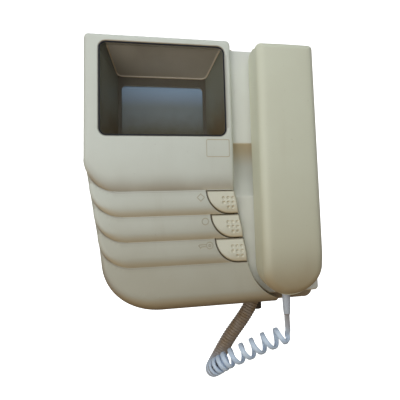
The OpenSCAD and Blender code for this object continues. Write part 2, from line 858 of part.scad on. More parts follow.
module hook_spring() {
    color("#b0b4b8") translate([handset_x, hook_end_y + seat + spring_len, hook_z])
        rotate([90, 0, 0]) difference() {
            cylinder(d = 8, h = spring_len);
            translate([0, 0, -1]) cylinder(d = 6.4, h = spring_len + 2);
        }
}

module hook_switch() {
    y0 = hook_end_y + 2 * seat + spring_len;
    color("#33363a") translate([handset_x, 0, hook_z]) {
        translate([-10, y0, -hook_switch_w / 2])
            cube([20, main_board_y - seat - y0, hook_switch_w]);
    }
}

// ---------- screws ----------

module back_screw(p) {
    translate([p[0], screw_seat_y(), p[1]]) rotate([90, 0, 0]) {
        cylinder(d = screw_d, h = screw_l);
        translate([0, 0, -screw_head_h]) difference() {
            cylinder(d = screw_head_d, h = screw_head_h);
            for (a = [0, 90]) rotate(a) translate([-1.6, -0.4, -0.1]) cube([3.2, 0.8, 1]);
        }
    }
}

module lock_screw() {  // from below, through the housing into the bracket's tongue
    color("#8f9498") translate([0, lock_y, foot_z]) union() {
        cylinder(d = screw_d, h = 7);
        translate([0, 0, -screw_head_h - seat]) cylinder(d = screw_head_d, h = screw_head_h);
        translate([0, 0, -seat - 0.1]) cylinder(d = screw_d, h = 1);
    }
}

module cover_screws() {
    color("#8f9498") for (p = cover_posts) back_screw(p);
}

module cradle_screws() {
    color("#8f9498") for (p = cradle_posts) back_screw(p);
}

// ---------- handset ----------

// A bar along Z with a round lower end. Half of its width is given by the child
// profile, drawn with x from the middle outwards and y from its face back.
module round_bar(top, end) {
    translate([0, 0, end]) linear_extrude(top - end) {
        children();
        mirror([1, 0]) children();
    }
    translate([0, 0, end]) rotate([-90, 0, 0]) rotate_extrude(angle = 180, $fn = 96) children();
}

module edge_profile(half, t, r) {  // rounded at the outer edge of the face
    difference() {
        square([half, t]);
        translate([half, 0]) rotate(90) corner_cut(r);
    }
}

module nose_cut(inset) {  // side view of the handset's front, y across, z along
    top = handset_l / 2 - inset;
    f = handset_face_y + inset;
    bend_z = -handset_l / 2 + nose_l;
    r = nose_r - inset;
    translate([handset_x - 60, 0, 0]) rotate([90, 0, 90]) linear_extrude(120) difference() {
        translate([f, -handset_l]) square([60, top + handset_l]);
        difference() {
            translate([f - 1, bend_z - 80]) square([nose_d + 1 + 20, 80]);
            translate([f + r, bend_z]) circle(r, $fn = 256);
        }
        translate([f, top]) rotate(-90) corner_cut(handset_top_r - inset);
    }
}

module handset_front_shell() {
    half = handset_end_r;
    color("#ddd3ae") translate([0, 0, 0]) difference() {
        intersection() {
            translate([handset_x, handset_face_y, 0]) round_bar(handset_l / 2, handset_end_z)
                edge_profile(half, handset_front_t, handset_edge_r);
            nose_cut(0);
        }
        intersection() {
            translate([handset_x, handset_face_y + handset_wall, 0])
                round_bar(handset_l / 2 - handset_wall, handset_end_z)
                    edge_profile(half - handset_wall, handset_front_t,
                        handset_edge_r - handset_wall);
            nose_cut(handset_wall);
        }
    }
}

module handset_back_shell() {
    t = handset_t - handset_front_t - seat;
    half = handset_end_r - 0.4;
    y0 = handset_part_y + seat;
    color("#cfc49d") difference() {
        union() {
            difference() {
                translate([handset_x, handset_back_y, 0]) mirror([0, 1, 0])
                    round_bar(handset_l / 2 - 0.4, handset_end_z)
                        edge_profile(half, t, handset_edge_r - 2);
                translate([handset_x, handset_back_y - handset_wall, 0]) mirror([0, 1, 0])
                    round_bar(handset_l / 2 - 0.4 - handset_wall, handset_end_z)
                        edge_profile(half - handset_wall, t, 2);
            }
            for (z = handset_posts)
                translate([handset_x, handset_back_y - 0.5, z]) rotate([90, 0, 0])
                    cylinder(d = 7, h = t - 3);
        }
        for (s = [-1, 1]) translate([handset_x, handset_back_y + 1, s * cap_spread])
            rotate([90, 0, 0]) cylinder(d = cap_d - 4, h = handset_wall + 2);
        for (z = handset_posts) translate([handset_x, handset_back_y + 1, z])
            rotate([90, 0, 0]) {
                cylinder(d = screw_d + 0.4, h = t);
                cylinder(d = screw_head_d + 0.6, h = 5);
            }
        translate([exit_x, exit_y, -handset_l / 2 - 5])
            cylinder(d = 5.4, h = 12);
    }
}

module cap(holes) {  // a grille that clips into the back shell
    rotate([-90, 0, 0]) difference() {
        union() {
            cylinder(d = cap_d, h = cap_h - 1.2);
            translate([0, 0, cap_h - 1.25]) cylinder(d1 = cap_d, d2 = cap_d - 4, h = 1.25);
            translate([0, 0, -handset_wall - 1.5]) cylinder(d = cap_d - 4.6, h = handset_wall + 2);
        }
        translate([0, 0, -handset_wall - 2]) cylinder(d = cap_d - 8, h = handset_wall + cap_h);
        for (ring = [0:holes], k = [0:max(0, 6 * ring - 1)])
            rotate(ring == 0 ? 0 : k * 60 / ring) translate([ring * 4.4, 0, 0])
                cylinder(d = 1.8, h = cap_h + 1, $fn = 16);
    }
}

module receiver_cap() {
    color("#cfc49d") translate([handset_x, handset_back_y + 0.2, cap_spread]) cap(2);
}

module microphone_cap() {
    color("#cfc49d") translate([handset_x, handset_back_y + 0.2, -cap_spread]) cap(1);
}

module receiver_capsule() {
    color("#3d3f42") translate([handset_x, handset_back_y + cap_h - 3.4, cap_spread])
        rotate([90, 0, 0]) union() {
            cylinder(d = cap_d - 9, h = 7);
            translate([0, 0, 6.9]) cylinder(d = 16, h = 5);
        }
}

module microphone_capsule() {
    color("#2a2a2c") translate([handset_x, handset_back_y + cap_h - 3.4, -cap_spread])
        rotate([90, 0, 0]) union() {
            cylinder(d = cap_d - 9, h = 3);
            translate([0, 0, 2.9]) cylinder(d = 12, h = 8);
        }
}

module handset_weight() {
    color("#7a7d80") translate([handset_x - 17, handset_face_y + handset_wall + seat, -45])
        cube([34, 6, 60]);
}

module handset_screws() {
    color("#8f9498") for (z = handset_posts)
        translate([handset_x, handset_back_y - 3.7, z]) rotate([90, 0, 0]) {
            cylinder(d = screw_d, h = 11);
            translate([0, 0, -screw_head_h + 0.05]) cylinder(d = screw_head_d, h = screw_head_h);
        }
}

module handset_strain_relief() {
    color("#d9dde2") translate([exit_x, exit_y, -handset_l / 2]) union() {
        translate([0, 0, -relief_l]) cylinder(d1 = 4.8, d2 = 6.8, h = relief_l - 0.3);
        translate([0, 0, -0.35]) cylinder(d = 5, h = 6);
        translate([0, 0, 5]) cylinder(d = 7, h = 2);
    }
}

module base_strain_relief() {
    color("#6f675e") translate([base_exit_x, base_exit_y, foot_z]) union() {
        translate([0, 0, -5]) cylinder(d1 = 9, d2 = 11, h = 5 - seat);
        translate([0, 0, -1]) cylinder(d = 8.5, h = wall_t + 2);
        translate([0, 0, wall_t + seat]) cylinder(d = 11, h = 1.5);
    }
}

// ---------- curly cord ----------

// The middle line of the cord: x, y, z, the radius of the curls there as a
// share of curl_r, and the turns wound so far.
cord_route = [
    [51, -23, -126, 0, 0], [51, -23, -129, 0, 0], [48, -24, -132, 1, 0.6],
    [40, -25, -141, 1, 4.1], [31, -28, -150, 1, 8.2], [22, -31, -159, 1, 12.4],
    [15, -36, -168, 1, 16.3], [9, -42, -174, 1, 18.7], [5, -49, -176, 1, 20.4],
    [5, -57, -173, 1.1, 21.9], [9, -63, -168, 1.2, 23.4], [17, -67, -162, 1.2, 24.9],
    [26, -68, -158, 1.2, 25.9], [35, -69, -154, 1.2, 26.9], [45, -69, -150, 1.2, 27.9],
    [56, -69, -147, 1.2, 28.9], [63, -69, -146, 1.1, 29.5], [67, -69, -146, 0.6, 29.8],
    [68, -69, -142, 0, 30], [68, -69, -134, 0, 30], [68, -69, -128, 0, 30],
    [68, -69, -123, 0, 30]
];
rings_per_turn = 8;
cord_sides = 6;

function catmull(a, b, c, d, t) =
    0.5 * ((2 * b) + (c - a) * t + (2 * a - 5 * b + 4 * c - d) * t * t
        + (3 * b - a - 3 * c + d) * t * t * t);
function route_at(u) =
    let (n = len(cord_route) - 1, i = min(n - 1, floor(u)), t = u - i,
        a = cord_route[max(0, i - 1)], b = cord_route[i],
        c = cord_route[i + 1], d = cord_route[min(n, i + 2)],
        s = catmull(a, b, c, d, t))
    [s[0], s[1], s[2], b[3] + (c[3] - b[3]) * t, b[4] + (c[4] - b[4]) * t];
function xyz(p) = [p[0], p[1], p[2]];
function unit(v) = v / norm(v);
// rings: at the route's points where it is straight, else at equal parts of a turn
cord_u = [for (i = [0:len(cord_route) - 2])
    let (turns = cord_route[i + 1][4] - cord_route[i][4],
        steps = max(1, round(turns * rings_per_turn)))
    for (k = [0:steps - 1]) i + k / steps];
cord_all_u = concat(cord_u, [len(cord_route) - 1]);
function cord_axis(u) = unit(xyz(route_at(min(u + 0.02, len(cord_route) - 1)))
    - xyz(route_at(max(0, u - 0.02))));
function cord_out(u) =
    let (t = cord_axis(u), s = unit(cross(t, [1, 0, -1])), w = cross(s, t),
        a = route_at(u)[4] * 360)
    s * cos(a) - w * sin(a);
function cord_mid(u) = xyz(route_at(u)) + cord_out(u) * curl_r * route_at(u)[3];
cord_mids = [for (u = cord_all_u) cord_mid(u)];
cord_ring_count = len(cord_mids);
function cord_along(k) = unit(cord_mids[min(k + 1, cord_ring_count - 1)]
    - cord_mids[max(0, k - 1)]);
function cord_ring(k) =
    let (t = cord_along(k), o = cord_out(cord_all_u[k]), r = unit(o - t * (o * t)),
        w = cross(t, r))
    [for (j = [0:cord_sides - 1]) let (a = j * 360 / cord_sides)
        cord_mids[k] + r * cos(a) * cord_w / 2 + w * sin(a) * cord_t / 2];
cord_points = [for (k = [0:cord_ring_count - 1]) for (p = cord_ring(k)) p];

module curly_cord() {
    n = cord_sides;
    last = (cord_ring_count - 1) * n;
    color("#b9c3d6") polyhedron(
        points = cord_points,
        faces = concat(
            [for (k = [0:cord_ring_count - 2], j = [0:n - 1])
                [k * n + j, k * n + (j + 1) % n, (k + 1) * n + j]],
            [for (k = [0:cord_ring_count - 2], j = [0:n - 1])
                [k * n + (j + 1) % n, (k + 1) * n + (j + 1) % n, (k + 1) * n + j]],
            [for (j = [1:n - 2]) [0, j + 1, j]],
            [for (j = [1:n - 2]) [last, last + j, last + j + 1]]
        ),
        convexity = 20
    );
    echo(cord_length = cord_length(), cord_least_gap = cord_gap());
}

function sum_of(v, i = 0) = i < len(v) ? v[i] + sum_of(v, i + 1) : 0;
function cord_length() = sum_of([for (k = [0:cord_ring_count - 2])
    norm(cord_mids[k + 1] - cord_mids[k])]);
// least distance between the strand's surface points most of a turn apart or more
function cord_gap() = min([for (k = [0:cord_ring_count - 1 - rings_per_turn + 2])
    for (m = [k + rings_per_turn - 2:min(k + 2 * rings_per_turn, cord_ring_count - 1)])
        for (a = [0:cord_sides - 1], b = [0:cord_sides - 1])
            norm(cord_points[k * cord_sides + a] - cord_points[m * cord_sides + b])]);

wall_bracket();
rear_housing();
front_cover();
window_gasket();
window_pane();
screen_hood();
tube_faceplate();
tube_funnel();
deflection_yoke();
yoke_windings();
socket_board();
tube_strap();
main_board();
line_transformer();
capacitors();
heat_sink();
terminal_block();
terminal_screws();
call_speaker();
button_board();
tact_switches();
button(0);  // monitor_button
button(1);  // light_button
button(2);  // door_button
switch_plunger(0);  // monitor_plunger
switch_plunger(1);  // light_plunger
switch_plunger(2);  // door_plunger
handset_cradle();
hook_plunger();
hook_spring();
hook_switch();
cover_screws();
cradle_screws();
lock_screw();
handset_front_shell();
handset_back_shell();
receiver_cap();
microphone_cap();
receiver_capsule();
microphone_capsule();
handset_weight();
handset_screws();
handset_strain_relief();
base_strain_relief();
curly_cord();
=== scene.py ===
"""Looks of a wall-mounted video intercom monitor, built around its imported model.

The cover is lapped like shingles under a smoked window, and a handset on a curly
cord stands in a cradle at the right. X points right, Z up and Y into the wall.
Sizes are in millimetres and turn to metres where a mesh is made.
"""
import json
import logging
import math
from dataclasses import dataclass, field
from enum import Enum
from typing import Callable, Iterable, Sequence

import bmesh
import bpy
import numpy as np
from mathutils import Matrix, Vector
from mathutils.geometry import delaunay_2d_cdt


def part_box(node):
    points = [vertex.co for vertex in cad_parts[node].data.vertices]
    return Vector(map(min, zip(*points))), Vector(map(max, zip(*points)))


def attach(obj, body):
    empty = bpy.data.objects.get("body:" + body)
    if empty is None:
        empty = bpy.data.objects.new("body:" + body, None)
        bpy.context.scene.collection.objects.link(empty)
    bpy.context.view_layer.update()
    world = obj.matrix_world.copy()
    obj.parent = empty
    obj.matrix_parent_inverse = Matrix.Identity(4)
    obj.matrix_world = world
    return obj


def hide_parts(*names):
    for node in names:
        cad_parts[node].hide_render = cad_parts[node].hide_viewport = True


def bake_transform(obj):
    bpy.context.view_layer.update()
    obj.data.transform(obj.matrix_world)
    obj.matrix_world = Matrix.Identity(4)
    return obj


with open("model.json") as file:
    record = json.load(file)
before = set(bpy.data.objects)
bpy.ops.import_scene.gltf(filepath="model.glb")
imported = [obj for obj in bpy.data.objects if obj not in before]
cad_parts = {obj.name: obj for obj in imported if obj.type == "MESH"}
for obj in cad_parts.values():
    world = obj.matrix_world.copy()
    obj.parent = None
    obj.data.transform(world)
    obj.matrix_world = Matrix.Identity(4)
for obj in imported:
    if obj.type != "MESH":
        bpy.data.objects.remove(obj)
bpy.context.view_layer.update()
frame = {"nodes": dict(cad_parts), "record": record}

MM = 0.001
LOG = logging.getLogger("monitor")

Points = np.ndarray
Colour = tuple[float, float, float]


class Body(str, Enum):
    """The bodies that pieces ride on."""

    BASE = "base"
    MONITOR = "monitor_key"
    LIGHT = "light_key"
    DOOR = "door_key"
    HANDSET = "handset"


# ---------- outlines in X and Z ----------


def arc(centre: Sequence[float], radius: float, start: float, end: float,
        steps: int) -> Points:
    """Points along an arc.

    Args:
        centre: the arc's centre.
        radius: its radius.
        start: its first angle in degrees, from +X towards +Z.
        end: its last angle in degrees.
        steps: how many parts it has.

    Returns:
        The points, first and last included.
    """
    angles = np.radians(np.linspace(start, end, steps + 1))
    return np.stack([centre[0] + radius * np.cos(angles),
                     centre[1] + radius * np.sin(angles)], 1)


def round_rect(centre: Sequence[float], width: float, height: float, radius: float,
               steps: int = 10) -> Points:
    """A rounded rectangle, anticlockwise.

    Args:
        centre: its centre.
        width: its width.
        height: its height.
        radius: its corner radius.
        steps: the parts of each corner.

    Returns:
        The closed outline's points.
    """
    a, b = width / 2 - radius, height / 2 - radius
    corners = ((a, b, 0), (-a, b, 90), (-a, -b, 180), (a, -b, 270))
    return np.concatenate([
        arc((centre[0] + x, centre[1] + z), radius, turn, turn + 90, steps)
        for x, z, turn in corners])


def stretches(line: Points, closed: bool) -> Iterable[tuple[Points, Points]]:
    """Both ends of each straight stretch of a line, which may join up."""
    return zip(line, np.roll(line, -1, 0)) if closed else zip(line[:-1], line[1:])


def resample(line: Points, spacing: float, closed: bool = True) -> Points:
    """The same line with points no further apart than a spacing.

    Args:
        line: the points of the line.
        spacing: the longest step.
        closed: whether the last point joins the first.

    Returns:
        The line's own points and the new ones between them.
    """
    out = []
    for a, b in stretches(line, closed):
        parts = int(math.ceil(np.linalg.norm(b - a) / spacing - 1e-9))
        out.extend(a + (b - a) * k / parts for k in range(parts))
    if not closed:
        out.append(line[-1])
    return np.array(out)


def inside(points: Points, loop: Points) -> np.ndarray:
    """Which points lie inside a closed outline.

    Args:
        points: the points to test.
        loop: the outline.

    Returns:
        A mask, true for each point inside.
    """
    x, z = points[:, 0], points[:, 1]
    hit = np.zeros(len(points), bool)
    for (x0, z0), (x1, z1) in stretches(loop, True):
        if z0 != z1:
            hit ^= ((z0 > z) != (z1 > z)) & (x < (x1 - x0) * (z - z0) / (z1 - z0) + x0)
    return hit


def away(points: Points, line: Points, closed: bool = True) -> np.ndarray:
    """The distance from each point to a line.

    Args:
        points: the points.
        line: the line's points.
        closed: whether the last point joins the first.

    Returns:
        The least distance of each point.
    """
    best = np.full(len(points), 1e9)
    for a, b in stretches(line, closed):
        d = b - a
        t = np.clip(((points - a) @ d) / max(d @ d, 1e-12), 0, 1)
        best = np.minimum(best, np.linalg.norm(points - a - t[:, None] * d, axis=1))
    return best


def within(points: Points, loops: Sequence[Points]) -> np.ndarray:
    """Which points lie inside the first outline and outside the others.

    Args:
        points: the points to test.
        loops: the outline and its holes.

    Returns:
        A mask, true for each point kept.
    """
    keep = inside(points, loops[0])
    for hole in loops[1:]:
        keep &= ~inside(points, hole)
    return keep


def fading(distance: np.ndarray, reach: float | np.ndarray) -> np.ndarray:
    """A share that is 1 at an edge and 0 from its reach on."""
    return np.clip(1 - distance / reach, 0, 1)


def rolled(distance: np.ndarray, reach: float | np.ndarray,
           drop: float | np.ndarray) -> np.ndarray:
    """How far a rounded edge falls away from its face.

    Args:
        distance: the distance from the edge of the outline.
        reach: how far from the edge the rounding starts.
        drop: its depth at the edge.

    Returns:
        The depth below the face at each distance.
    """
    return drop * (1 - np.sqrt(1 - fading(distance, reach) ** 2))


def inset(loop: Points, margin: float, spacing: float = 1.3) -> Points:
    """Points just inside an anticlockwise outline.

    Args:
        loop: the outline.
        margin: how far inside.
        spacing: the longest step between points.

    Returns:
        The points, without those that a near part of the outline comes close to.
    """
    fine = resample(loop, spacing)
    ahead = np.roll(fine, -1, 0) - np.roll(fine, 1, 0)
    ahead /= np.linalg.norm(ahead, axis=1)[:, None]
    moved = fine + np.stack([-ahead[:, 1], ahead[:, 0]], 1) * margin
    return moved[away(moved, loop) > margin * 0.8]


# ---------- meshes ----------


@dataclass
class Draft:
    """Vertices and faces in millimetres that become one mesh."""

    verts: list[Sequence[float]] = field(default_factory=list)
    faces: list[tuple[int, ...]] = field(default_factory=list)
    # How much dirt and painted shade each vertex carries, from 0 to 1.
    worn: list[float] = field(default_factory=list)

    def add(self, verts: Iterable[Sequence[float]], faces: Iterable[Sequence[int]],
            worn: Sequence[float] | None = None) -> None:
        """Adds a lump of vertices and faces.

        Args:
            verts: its vertices.
            faces: its faces, counted from its own first vertex.
            worn: how much dirt and painted shade each of its vertices carries, from 0 to 1.
        """
        base = len(self.verts)
        self.verts.extend(verts)
        self.faces.extend(tuple(base + int(i) for i in f) for f in faces)
        self.worn.extend(worn if worn is not None else [0.0] * (len(self.verts) - base))

    def tube(self, rings: np.ndarray, caps: bool = True, closed: bool = False) -> None:
        """Adds a skin over rings of equal length.

        Args:
            rings: an array of rings, points and coordinates.
            caps: whether both ends are closed with a face.
            closed: whether the last ring joins the first.
        """
        count, sides = rings.shape[:2]
        faces = [(k * sides + j, k * sides + (j + 1) % sides,
                  (k + 1) % count * sides + (j + 1) % sides, (k + 1) % count * sides + j)
                 for k in range(count if closed else count - 1) for j in range(sides)]
        if caps and not closed:
            faces.append(tuple(range(sides))[::-1])
            faces.append(tuple((count - 1) * sides + j for j in range(sides)))
        self.add(rings.reshape(-1, 3), faces)

    def build(self, name: str, crease: float = 35.0) -> bpy.types.Object:
        """Makes the object, with its dirt and painted shade as a colour attribute.

        Args:
            name: its name.
            crease: the angle in degrees above which an edge stays sharp.

        Returns:
            The new object, linked to the scene.
        """
        mesh = bpy.data.meshes.new(name)
        mesh.from_pydata((np.array(self.verts, float) * MM).tolist(), [], self.faces)
        layer = mesh.attributes.new("grime", "FLOAT", "POINT")
        layer.data.foreach_set("value", np.array(self.worn, np.float32))
        work = bmesh.new()
        work.from_mesh(mesh)
        bmesh.ops.remove_doubles(work, verts=work.verts, dist=2e-6)
        bmesh.ops.dissolve_degenerate(work, edges=work.edges, dist=1e-6)
        bmesh.ops.recalc_face_normals(work, faces=work.faces)
        work.to_mesh(mesh)
        work.free()
        mesh.shade_smooth()
        mesh.set_sharp_from_angle(angle=math.radians(crease))
        obj = bpy.data.objects.new(name, mesh)
        bpy.context.scene.collection.objects.link(obj)
        return obj


@dataclass
class Relief:
    """A shell: a face over an outline in X and Z, with walls and, if closed, a back.

    The height function gives the depth Y of each point of the face, and the second
    function how much dirt and painted shade it carries. That mark fades along the walls behind
    the face's edge.
    """

    outer: Points
    height: Callable[[Points], np.ndarray]
    back: float
    holes: list[Points] = field(default_factory=list)
    rows: list[Points] = field(default_factory=list)
    spacing: float = 2.2
    edge_step: float = 1.2
    grime: Callable[[Points], np.ndarray] | None = None
    open_back: bool = False
    mark_reach: float = 2.5
    mark_left: float = 0.1
    least_step: float = 0.07
    least_margin: float = 0.04

    def build(self, name: str, crease: float = 40.0) -> bpy.types.Object:
        """Makes the shell.

        Args:
            name: the object's name.
            crease: the angle in degrees above which an edge stays sharp.

        Returns:
            The new object.
        """
        loops = [resample(loop, self.edge_step) for loop in (self.outer, *self.holes)]
        free = self._free_points(loops)
        verts = [Vector(p) for p in np.vstack([*loops, free])]
        edges: list[tuple[int, int]] = []
        for loop in loops:
            at = len(edges)
            edges += [(at + k, at + (k + 1) % len(loop)) for k in range(len(loop))]
        found = delaunay_2d_cdt(verts, edges, [], 0, 1e-5, False)
        flat = np.array([(v.x, v.y) for v in found[0]])
        faces = np.array(found[2])
        faces = faces[within(flat[faces].mean(1), loops)]
        worn = self.grime(flat) if self.grime else np.zeros(len(flat))
        draft = Draft()
        front = self.height(flat)
        draft.add(np.insert(flat, 1, front, axis=1), faces, worn)
        draft.add(np.insert(flat, 1, self.back, axis=1), [], worn * self.mark_left)
        count = len(flat)
        rim = self._rim(faces)
        ends = sorted({a for edge in rim for a in edge})
        near = front[ends] + np.minimum(self.mark_reach, (self.back - front[ends]) / 2)
        draft.add(np.insert(flat[ends], 1, near, axis=1), [], worn[ends] * self.mark_left)
        ring = {a: 2 * count + k for k, a in enumerate(ends)}
        draft.faces.extend((a, ring[a], ring[b], b) for a, b in rim)
        draft.faces.extend((ring[a], a + count, b + count, ring[b]) for a, b in rim)
        if not self.open_back:
            draft.faces.extend(tuple(int(i) + count for i in f[::-1]) for f in faces)
        obj = draft.build(name, crease)
        self._drop_loose(obj)
        return obj

    def _free_points(self, loops: list[Points]) -> Points:
        """The rows and a grid, without points outside or close to one another.

        Args:
            loops: the outline and its holes.

        Returns:
            The points.
        """
        low, high = self.outer.min(0), self.outer.max(0)
        grid = np.stack(np.meshgrid(np.arange(low[0], high[0], self.spacing),
                                    np.arange(low[1], high[1], self.spacing)), -1).reshape(-1, 2)
        if self.rows:
            rows = np.vstack(self.rows)
            taken = {tuple(c) for c in np.floor(rows / self.spacing).astype(int)}
            lone = [tuple(c) not in taken for c in np.floor(grid / self.spacing).astype(int)]
            grid = np.vstack([rows, grid[lone]])
        grid = grid[within(grid, loops)]
        grid = grid[np.min([away(grid, loop) for loop in loops], 0) > self.least_margin]
        cells = np.round(grid / self.least_step).astype(int)
        _, first = np.unique(cells, axis=0, return_index=True)
        return grid[np.sort(first)]

    @staticmethod
    def _rim(faces: np.ndarray) -> list[tuple[int, int]]:
        """The edges that only one triangle has, in its own direction.

        Args:
            faces: the triangles.

        Returns:
            Both ends of each edge.
        """
        seen: dict[tuple[int, int], tuple[int, int] | None] = {}
        for tri in faces.tolist():
            for a, b in zip(tri, tri[1:] + tri[:1]):
                key = (a, b) if a < b else (b, a)
                seen[key] = None if key in seen else (a, b)
        return [edge for edge in seen.values() if edge]

    @staticmethod
    def _drop_loose(obj: bpy.types.Object) -> None:
        """Removes vertices that no face uses.

        Args:
            obj: the shell.
        """
        work = bmesh.new()
        work.from_mesh(obj.data)
        bmesh.ops.delete(work, geom=[v for v in work.verts if not v.link_faces],
                         context="VERTS")
        work.to_mesh(obj.data)
        work.free()


BEAD_ANGLES = (0, 45, 90, 135, 180, 270)


def bead(path: Points, width: float, closed: bool) -> np.ndarray:
    """Rings of a half-round bead along points on a surface that faces -Y.

    Args:
        path: the points, in three coordinates.
        width: the bead's width.
        closed: whether the last point joins the first.

    Returns:
        The rings, for Draft.tube.
    """
    ahead = np.roll(path, -1, 0) - path
    behind = path - np.roll(path, 1, 0)
    if not closed:
        ahead[-1], behind[0] = behind[-1], ahead[0]
    ahead /= np.linalg.norm(ahead, axis=1)[:, None]
    behind /= np.linalg.norm(behind, axis=1)[:, None]
    along = ahead + behind
    along /= np.linalg.norm(along, axis=1)[:, None]
    out = np.array([0.0, -1.0, 0.0])
    side = np.cross(along, out)
    side /= np.linalg.norm(side, axis=1)[:, None]
    stretch = 1 / np.clip((along * ahead).sum(1), 0.6, 1)
    rings = [path + side * (math.cos(a) * width / 2 * stretch)[:, None]
             + out * math.sin(a) * width / 2
             for a in np.radians(BEAD_ANGLES)]
    return np.stack(rings, 1)


def dress(obj: bpy.types.Object, material: bpy.types.Material) -> bpy.types.Object:
    """Gives a piece its one material.

    Args:
        obj: the piece.
        material: its finish.

    Returns:
        The piece.
    """
    obj.data.materials.clear()
    obj.data.materials.append(material)
    return obj


def mount(obj: bpy.types.Object, material: bpy.types.Material, body: Body,
          node: str | None = None) -> bpy.types.Object:
    """Dresses a new piece and lets it ride.

    Args:
        obj: the piece.
        material: its finish.
        body: the body that it rides on.
        node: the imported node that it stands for, if any.

    Returns:
        The piece.
    """
    dress(obj, material)
    if node:
        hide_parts(node)
    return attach(obj, body.value)


def soften(obj: bpy.types.Object, width: float) -> None:
    """Rounds the edges of a piece that is drawn as it was machined, by a width in mm.

    Args:
        obj: the piece.
        width: how wide the rounding is.
    """
    bevel = obj.modifiers.new("soft_edges", "BEVEL")
    bevel.width = width * MM
    bevel.segments = 2
    bevel.limit_method = "ANGLE"
    bevel.angle_limit = math.radians(40)
    bevel.harden_normals = False


# ---------- shader parts ----------


class Shader:
    """A node tree that is wired by short calls."""

    def __init__(self, tree: bpy.types.NodeTree) -> None:
        """Takes the tree to wire."""
        self.tree = tree
        self._column = 0

    def node(self, kind: str, links: dict[str | int, object] | None = None,
             **settings: object) -> bpy.types.Node:
        """Adds a node.

        Args:
            kind: its type, without ShaderNode.
            links: what goes to each input: a value, or another node's output.
            settings: the node's own properties.

        Returns:
            The new node.
        """
        made = self.tree.nodes.new("ShaderNode" + kind)
        made.location = (self._column * 190, 0)
        self._column += 1
        for key, value in settings.items():
            setattr(made, key, value)
        self.feed(made, links or {})
        return made

    def feed(self, made: bpy.types.Node, links: dict[str | int, object]) -> None:
        """Gives a node's inputs their values, or links them to other nodes' outputs.

        Args:
            made: the node.
            links: what goes to each input: a value, or another node's output.
        """
        for key, value in links.items():
            if isinstance(value, bpy.types.NodeSocket):
                self.tree.links.new(value, made.inputs[key])
            else:
                made.inputs[key].default_value = value

    def where(self) -> bpy.types.NodeSocket:
        """The place of a point on the piece, in metres."""
        return self.node("TexCoord").outputs["Object"]

    def part(self, vector: object, axis: str) -> bpy.types.NodeSocket:
        """One coordinate of a vector."""
        return self.node("SeparateXYZ", {0: vector}).outputs[axis]

    def facing(self, axis: str) -> bpy.types.NodeSocket:
        """How far a surface faces along an axis."""
        return self.part(self.node("NewGeometry").outputs["Normal"], axis)

    def scaled(self, scale: tuple[float, float, float]) -> bpy.types.NodeSocket:
        """The place of a point, stretched along each axis."""
        return self.node("Mapping", {"Vector": self.where(), "Scale": scale}).outputs[0]

    def math(self, operation: str, a: object, b: object = 0.0) -> bpy.types.NodeSocket:
        """The result of one sum on two values."""
        return self.node("Math", {0: a, 1: b}, operation=operation).outputs[0]

    def noise(self, where: object, scale: float, detail: float = 3.0,
              roughness: float = 0.5) -> bpy.types.NodeSocket:
        """A noise value at a place."""
        return self.node("TexNoise", {"Vector": where, "Scale": scale, "Detail": detail,
                                      "Roughness": roughness}).outputs["Fac"]

    def ramp(self, value: object, low: float, high: float, start: float = 0.0,
             end: float = 1.0) -> bpy.types.NodeSocket:
        """A value mapped smoothly from low..high to start..end.

        Args:
            value: the value.
            low: where the ramp starts.
            high: where it ends.
            start: its result at the start.
            end: its result at the end.

        Returns:
            The mapped value.
        """
        made = self.node("MapRange", {"Value": value, "From Min": low, "From Max": high,
                                      "To Min": start, "To Max": end},
                         interpolation_type="SMOOTHSTEP")
        return made.outputs["Result"]

    def mix(self, share: object, a: object, b: object) -> bpy.types.NodeSocket:
        """Two colours mixed by a share."""
        return self.node("Mix", {0: share, 6: a, 7: b}, data_type="RGBA").outputs[2]


def rgba(colour: Colour) -> tuple[float, float, float, float]:
    """A colour given in display values from 0 to 255, as a linear one.

    Args:
        colour: its red, green and blue.

    Returns:
        The linear colour, with its alpha.
    """
    def linear(value: float) -> float:
        """One display value as a linear one."""
        share = value / 255
        return share / 12.92 if share <= 0.04045 else ((share + 0.055) / 1.055) ** 2.4
    return (*[linear(c) for c in colour], 1.0)


@dataclass
class Group:
    """A shader node group with named inputs and outputs, built once."""

    name: str
    inputs: tuple[tuple[str, str, object], ...]
    outputs: tuple[tuple[str, str], ...]
    wire: Callable[[Shader, dict[str, bpy.types.NodeSocket]], dict[str, object]]
    tree: bpy.types.NodeTree | None = None

    def build(self) -> bpy.types.NodeTree:
        """Makes the group's tree, or gives the one made before.

        Returns:
            The group's tree.
        """
        if self.tree:
            return self.tree
        tree = bpy.data.node_groups.new(self.name, "ShaderNodeTree")
        for label, kind, value in self.inputs:
            socket = tree.interface.new_socket(label, in_out="INPUT", socket_type=kind)
            socket.default_value = value
        for label, kind in self.outputs:
            tree.interface.new_socket(label, in_out="OUTPUT", socket_type=kind)
        shader = Shader(tree)
        source = tree.nodes.new("NodeGroupInput")
        result = self.wire(shader, {s.name: s for s in source.outputs if s.name})
        sink = tree.nodes.new("NodeGroupOutput")
        for label, socket in result.items():
            tree.links.new(socket, sink.inputs[label])
        self.tree = tree
        return tree

    def place(self, shader: Shader, **values: object) -> bpy.types.Node:
        """Places the group in a material.

        Args:
            shader: the material's tree.
            values: each input's value or socket; an underscore stands for a space.

        Returns:
            The group's node.
        """
        made = shader.node("Group", node_tree=self.build())
        shader.feed(made, {label.replace("_", " "): value for label, value in values.items()})
        return made


FLOAT, COLOUR = "NodeSocketFloat", "NodeSocketColor"


